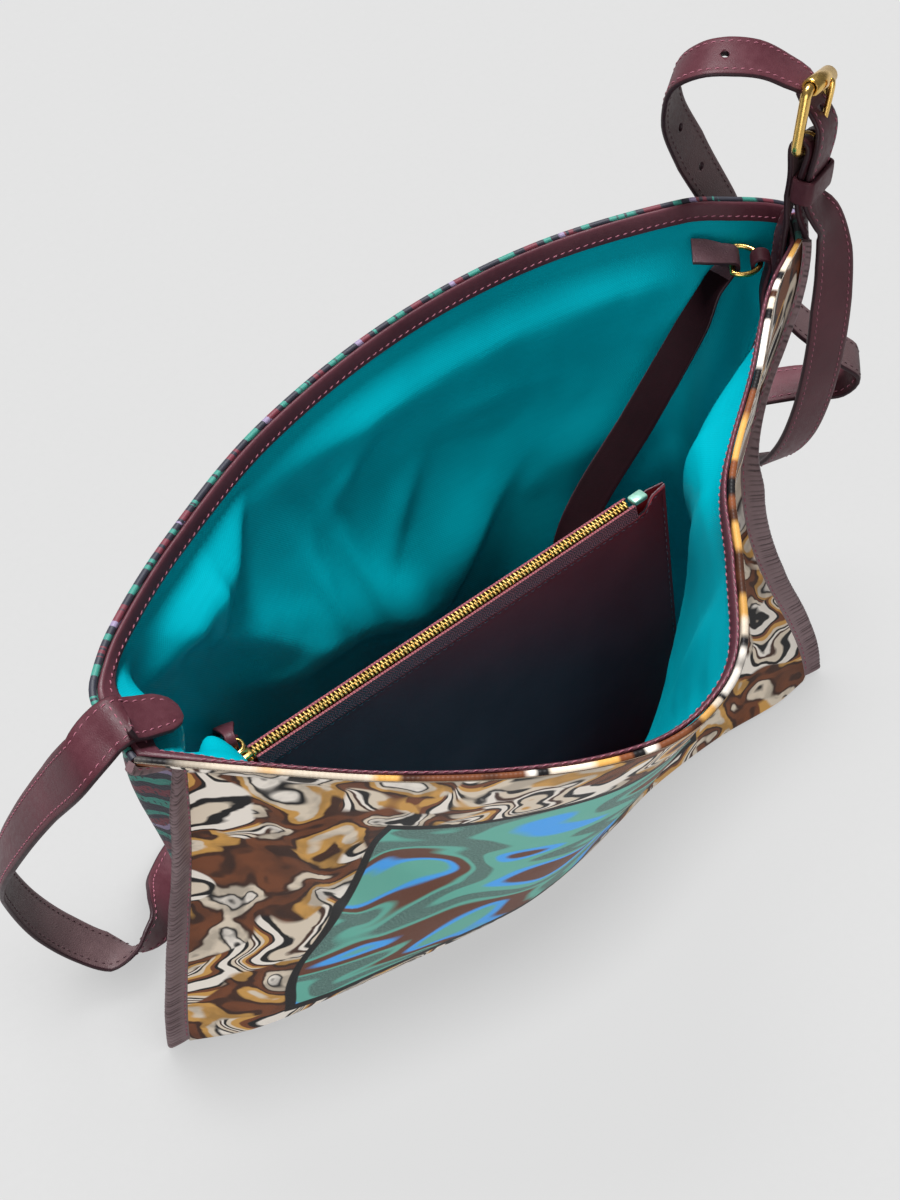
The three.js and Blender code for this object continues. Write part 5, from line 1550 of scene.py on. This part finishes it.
def make_pouch():
    columns, rows = POUCH_GRID
    share = np.clip((1 - np.cos(np.linspace(0, np.pi, columns))) / 2, 0, 1)
    rise = np.clip((1 - np.cos(np.linspace(0, np.pi, rows))) / 2, 0, 1)
    share, rise = np.meshgrid(share, rise)
    top = pouch_top(share)
    rise = rise * top
    from_end, from_edge = np.minimum(share, 1 - share), np.minimum(rise, top - rise)
    edge = np.minimum(from_end * POUCH_WIDTH, from_edge * POUCH_HEIGHT)
    groove = np.exp(-(((edge - POUCH_GROOVE) / POUCH_LIP) ** 2))
    lip = 0.5 + 0.5 * smooth_step(edge, 0.0, POUCH_LIP) - 0.25 * groove
    # painted highlight: the few faces round the leather's top edge take the greyer tag leather as a light
    # edge line
    edge_highlight = np.abs(np.arange(2 * rows) - rows + 1) < 3
    bands = np.concatenate([np.tile(edge_highlight, columns - 1), np.zeros(2 * (rows - 1), bool)])
    for name, sign in (("pouch_front", 1), ("pouch_back", -1)):
        swell = pouch_swell(share, rise)
        outer = on_pouch(share, rise, sign * (swell + POUCH_LEATHER * lip))
        inner = on_pouch(share, rise, sign * swell)
        dress(name, two_faces(outer, inner), [POUCH_SKIN, TAG_SKIN], bands, crease=60)
    lines = []
    s = np.linspace(*POUCH_STITCH_TOP, 200)
    r = np.linspace(0.03, POUCH_TOP - 0.03, 80)
    runs = [(s, pouch_top(s) - POUCH_STITCH_DROP)]
    runs += [(np.full_like(r, place), r) for place in POUCH_STITCH_SIDES]
    for sign in (1, -1):
        for run_share, run_rise in runs:
            out = sign * (pouch_swell(run_share, run_rise) + POUCH_STITCH_LEVEL * POUCH_LEATHER)
            line = on_pouch(run_share, run_rise, out)
            ahead = on_pouch(run_share, run_rise, out + sign * 0.001)
            lines.append((line, unit(ahead - line)))
    sew("pouch_stitches", lines, POUCH_THREAD)

    columns, rows = TAPE_GRID
    rise = np.linspace(*TAPE_LEVELS, rows)
    share, rise = np.meshgrid(np.linspace(ZIP_START, ZIP_END, columns), rise)
    lean = TAPE_SLOPE * (0.5 - (rise - rise.min()) / (rise.max() - rise.min()))
    out = ZIP_HALF_WIDTH + LAYER_GAP + lean
    for name, sign in (("zip_tape_front", 1), ("zip_tape_back", -1)):
        inner = on_pouch(share, rise, sign * out)
        outer = on_pouch(share, rise, sign * (out + TAPE_THICKNESS))
        flat = np.stack([share * POUCH_WIDTH, rise * POUCH_HEIGHT, np.zeros_like(rise)], -1)
        dress(name, two_faces(outer, inner), [TAPE_CLOTH], flat=two_faces(flat, flat))


def rounded_block(middle, axes, size, corner, taper=1.0):
    """Sections of a block with rounded edges along its first axis."""
    long, wide, high = (x / 2 for x in size)
    outline = [(a, b) for a, b, _, _ in rounded_corners(wide, -high, high, corner, 3)]
    ends = [(-1.0, 0.55), (-0.93, 0.85), (-0.8, 1.0), (0.8, 1.0), (0.93, 0.85), (1.0, 0.55)]
    sections = []
    for place, share in ends:
        centre = middle + place * long * axes[0]
        narrow = share * mix(1.0, taper, (place + 1) / 2)
        sections.append([centre + narrow * a * axes[1] + share * b * axes[2] for a, b in outline])
    return np.array(sections)


ZIP_LOW = on_pouch(ZIP_START, ZIP_LEVEL, 0.0)
ZIP_HIGH = on_pouch(ZIP_END, ZIP_LEVEL, 0.0)
ZIP_ALONG = unit(ZIP_HIGH - ZIP_LOW)
ZIP_UP = unit(np.cross(on_pouch(0.5, 1.0, 1.0) - on_pouch(0.5, 1.0, 0.0), ZIP_ALONG))
ZIP_ACROSS = np.cross(ZIP_UP, ZIP_ALONG)
ZIP_AXES = (ZIP_ALONG, ZIP_ACROSS, ZIP_UP)


def make_blocks(node, blocks, crease):
    """Several lofted blocks as one brass piece in place of a node."""
    points, faces = [], []
    for block in blocks:
        start = sum(len(p) for p in points)
        faces.extend(tuple(start + corner for corner in face) for face in loft(block))
        points.append(block.reshape(-1, 3))
    stand_for(add_piece(node, np.concatenate(points), faces, [BRASS], crease=crease), node)


def make_zip():
    teeth = []
    for i in range(int(np.linalg.norm(ZIP_HIGH - ZIP_LOW) / TOOTH_PITCH)):
        for sign in (1, -1):
            along = (i + 0.5 + 0.25 * sign) * TOOTH_PITCH
            middle = ZIP_LOW + along * ZIP_ALONG + sign * TOOTH_OFFSET * ZIP_ACROSS
            middle = middle + CHAIN_HEIGHT / 2 * ZIP_UP
            axes = (-sign * ZIP_ACROSS, ZIP_ALONG, ZIP_UP)
            teeth.append(rounded_block(middle, axes, TOOTH_SIZE, TOOTH_CORNER, TOOTH_TAPER))
    make_blocks("zip_chain", teeth, 40)

    middle = ZIP_LOW - (SLIDER_LENGTH / 2 + SEAM_GAP) * ZIP_ALONG + SLIDER_LIFT * ZIP_UP
    slider = []
    for lift in (-SLIDER_PLATE_LIFT, SLIDER_PLATE_LIFT):
        plate = middle + lift * ZIP_UP
        slider.append(rounded_block(plate, ZIP_AXES, SLIDER_PLATE, SLIDER_CORNER, SLIDER_TAPER))
    slider.append(rounded_block(middle - SLIDER_NECK_SHIFT * ZIP_ALONG, ZIP_AXES, SLIDER_NECK, 0.0004))
    bridge = smooth_path([middle + x * ZIP_ALONG + z * ZIP_UP for x, z in SLIDER_BRIDGE], 0.0008)
    slider.append(wire(bridge, ZIP_ACROSS, SLIDER_BRIDGE_RADIUS, 10))
    make_blocks("zip_slider", slider, 50)

    lift = SLIDER_HEIGHT / 2 + SEAM_GAP + ZIP_RING_WIRE
    centre = middle + lift * ZIP_UP + (ZIP_RING_RADIUS + ZIP_RING_ROOM) * ZIP_ACROSS
    ways = [math.cos(a) * ZIP_ALONG + math.sin(a) * ZIP_ACROSS for a in around(36)]
    path = [centre + ZIP_RING_RADIUS * way for way in ways]
    dress("zip_ring", wire(path, ZIP_UP, ZIP_RING_WIRE, 12, loop=True), [BRASS], loop=True)

    reach = ZIP_RING_WIRE + SEAM_GAP + PULL_FOLD
    way = unit(ZIP_ACROSS + PULL_TURN * ZIP_ALONG)
    fold = centre + ZIP_RING_RADIUS * way
    side = np.cross(way, ZIP_UP)
    shape = [
        (0.009, -0.011, 1.0),
        (0.005, -0.005, 1.0),
        (0.0, -reach, PULL_NECK),
        (-reach * 0.75, -reach * 0.7, PULL_NECK),
        (-reach, 0.0, PULL_NECK),
        (-reach * 0.75, reach * 0.7, PULL_NECK),
        (0.0, reach, PULL_NECK),
        (0.007, 0.0002, 1.0),
        (0.0125, -0.0085, 1.0),
    ]
    rows = [row_at(fold + out * way + rise * ZIP_UP, side, wide) for out, rise, wide in shape]
    points = strap_points(lay_strap(rows, PULL_STEP), PULL_WIDTH, PULL_THICKNESS)
    dress("zip_pull", points, [PLUM], crease=70)

    middle = ZIP_HIGH + (ZIP_STOP[0] / 2 + SEAM_GAP) * ZIP_ALONG + CHAIN_HEIGHT / 2 * ZIP_UP
    dress("zip_end", rounded_block(middle, ZIP_AXES, ZIP_STOP, ZIP_STOP_CORNER), [STOP_CLOTH])


# Tether

def on_ring(out, side, up):
    return RING_PLACE + out * RING_REACH + side * RING_SIDE + np.array([0.0, 0.0, up])


def make_tether():
    path = [on_ring(0, side * RING_RADIUS * math.sin(RING_ARC), 0) for side in RING_BAR]
    for angle in np.linspace(RING_ARC, -RING_ARC, 30):
        path.append(on_ring(RING_CENTRE + RING_RADIUS * math.cos(angle), RING_RADIUS * math.sin(angle), 0))
    sections = wire(path, (0, 0, 1), RING_WIRE, 16, loop=True)
    dress("tether_ring", sections, [BRASS], crease=60, loop=True)

    fold = TETHER_FOLD
    middle = fold - TETHER_THICKNESS / 2 - RING_WIRE - SEAM_GAP
    folded = [(-0.015, fold + 0.0014, 1.0), (-0.009, fold + 0.0011, 1.0), (-0.003, fold, 0.84)]
    for angle in np.radians([60, 25, -10, -45, -80]):
        folded.append((fold * math.cos(angle), fold * math.sin(angle), TETHER_NECK))
    rows = [row_at(on_ring(out - middle, 0, up), RING_SIDE, wide) for out, up, wide in folded]
    rows.extend(TETHER_ROUTE)
    share, rise = TETHER_END
    out = -pouch_swell(share, rise) - POUCH_LEATHER - SEAM_GAP - TETHER_THICKNESS / 2
    rows.append(row_at(on_pouch(share, rise, out), TETHER_END_WIDTH))
    laid = lay_strap(rows)
    points = strap_points(laid, TETHER_WIDTH, TETHER_THICKNESS)
    bands = strap_bands(len(points), 2)
    tagged = np.repeat(np.arange(len(points) - 1) < len(folded) * 2, len(strap_section()))
    bands[: len(tagged)] = np.where(tagged & (bands[: len(tagged)] != 1), 3, bands[: len(tagged)])
    skins = [TETHER_SHADED_SKIN, PLUM_EDGE, TETHER_SHADED_SKIN, TAG_SKIN]
    dress("tether", points, skins, bands, crease=70)

    turn = RING_WIRE + SEAM_GAP + RING_TAB_ROOM
    end = RING_CENTRE + RING_RADIUS
    rows = [
        on_panel(RING_TAB_U, 0.8, RIM_DEPTH),
        on_panel(RING_TAB_U, 0.84, RIM_DEPTH + 0.0006),
        row_at(inside("back", RING_TAB_U, 0.885, RIM_DEPTH + 0.0054), RING_SIDE),
    ]
    for out, up in RING_TAB_TURN:
        rows.append(row_at(on_ring(end + out * turn, 0, up * turn), RING_SIDE))
    points = strap_points(lay_strap(rows, RING_TAB_STEP), RING_TAB_WIDTH, RING_TAB_THICKNESS)
    dress("ring_tab", points, [PLUM], crease=70)


# Studio

def aim(thing, place, target):
    thing.location = place
    thing.rotation_mode = "QUATERNION"
    thing.rotation_quaternion = (Vector(target) - Vector(place)).to_track_quat("-Z", "Y")
    bpy.context.scene.collection.objects.link(thing)


def add_sun(name, place, strength, spread):
    sun = bpy.data.lights.new(name, "SUN")
    sun.energy = strength
    sun.angle = math.radians(spread)
    aim(bpy.data.objects.new(name, sun), place, (0.0, 0.0, 0.0))


def make_studio():
    camera = bpy.data.cameras.new("camera")
    camera.lens = CAMERA_LENS
    camera.sensor_width = CAMERA_SENSOR
    holder = bpy.data.objects.new("camera", camera)
    aim(holder, CAMERA_PLACE, CAMERA_TARGET)
    bpy.context.scene.camera = holder

    mesh = bpy.data.meshes.new("floor")
    signs = ((-1, -1), (1, -1), (1, 1), (-1, 1))
    corners = [(x * FLOOR_HALF, y * FLOOR_HALF, FLOOR_LEVEL) for x, y in signs]
    mesh.from_pydata(corners, [], [(0, 1, 2, 3)])
    mesh.materials.append(floor_paper())
    floor = bpy.data.objects.new("floor", mesh)
    bpy.context.scene.collection.objects.link(floor)

    world = bpy.data.worlds.new("studio")
    world.use_nodes = True
    sky = world.node_tree.nodes["Background"].inputs
    sky["Color"].default_value = (1.0, 1.0, 1.0, 1.0)
    sky["Strength"].default_value = SKY_STRENGTH
    bpy.context.scene.world = world
    bpy.context.scene.view_settings.view_transform = "Standard"
    for sun in SUNS:
        add_sun(*sun)


make_studio()
make_panel("front_panel", "front", PRINT_CLOTH)
make_panel("back_panel", "back", STRIPE_CLOTH)
make_lining()
make_facing()
make_binding("binding_left", "left")
make_binding("binding_right", "right")
make_strap()
make_short_strap()
make_buckle()
make_keeper()
make_pouch()
make_zip()
make_tether()
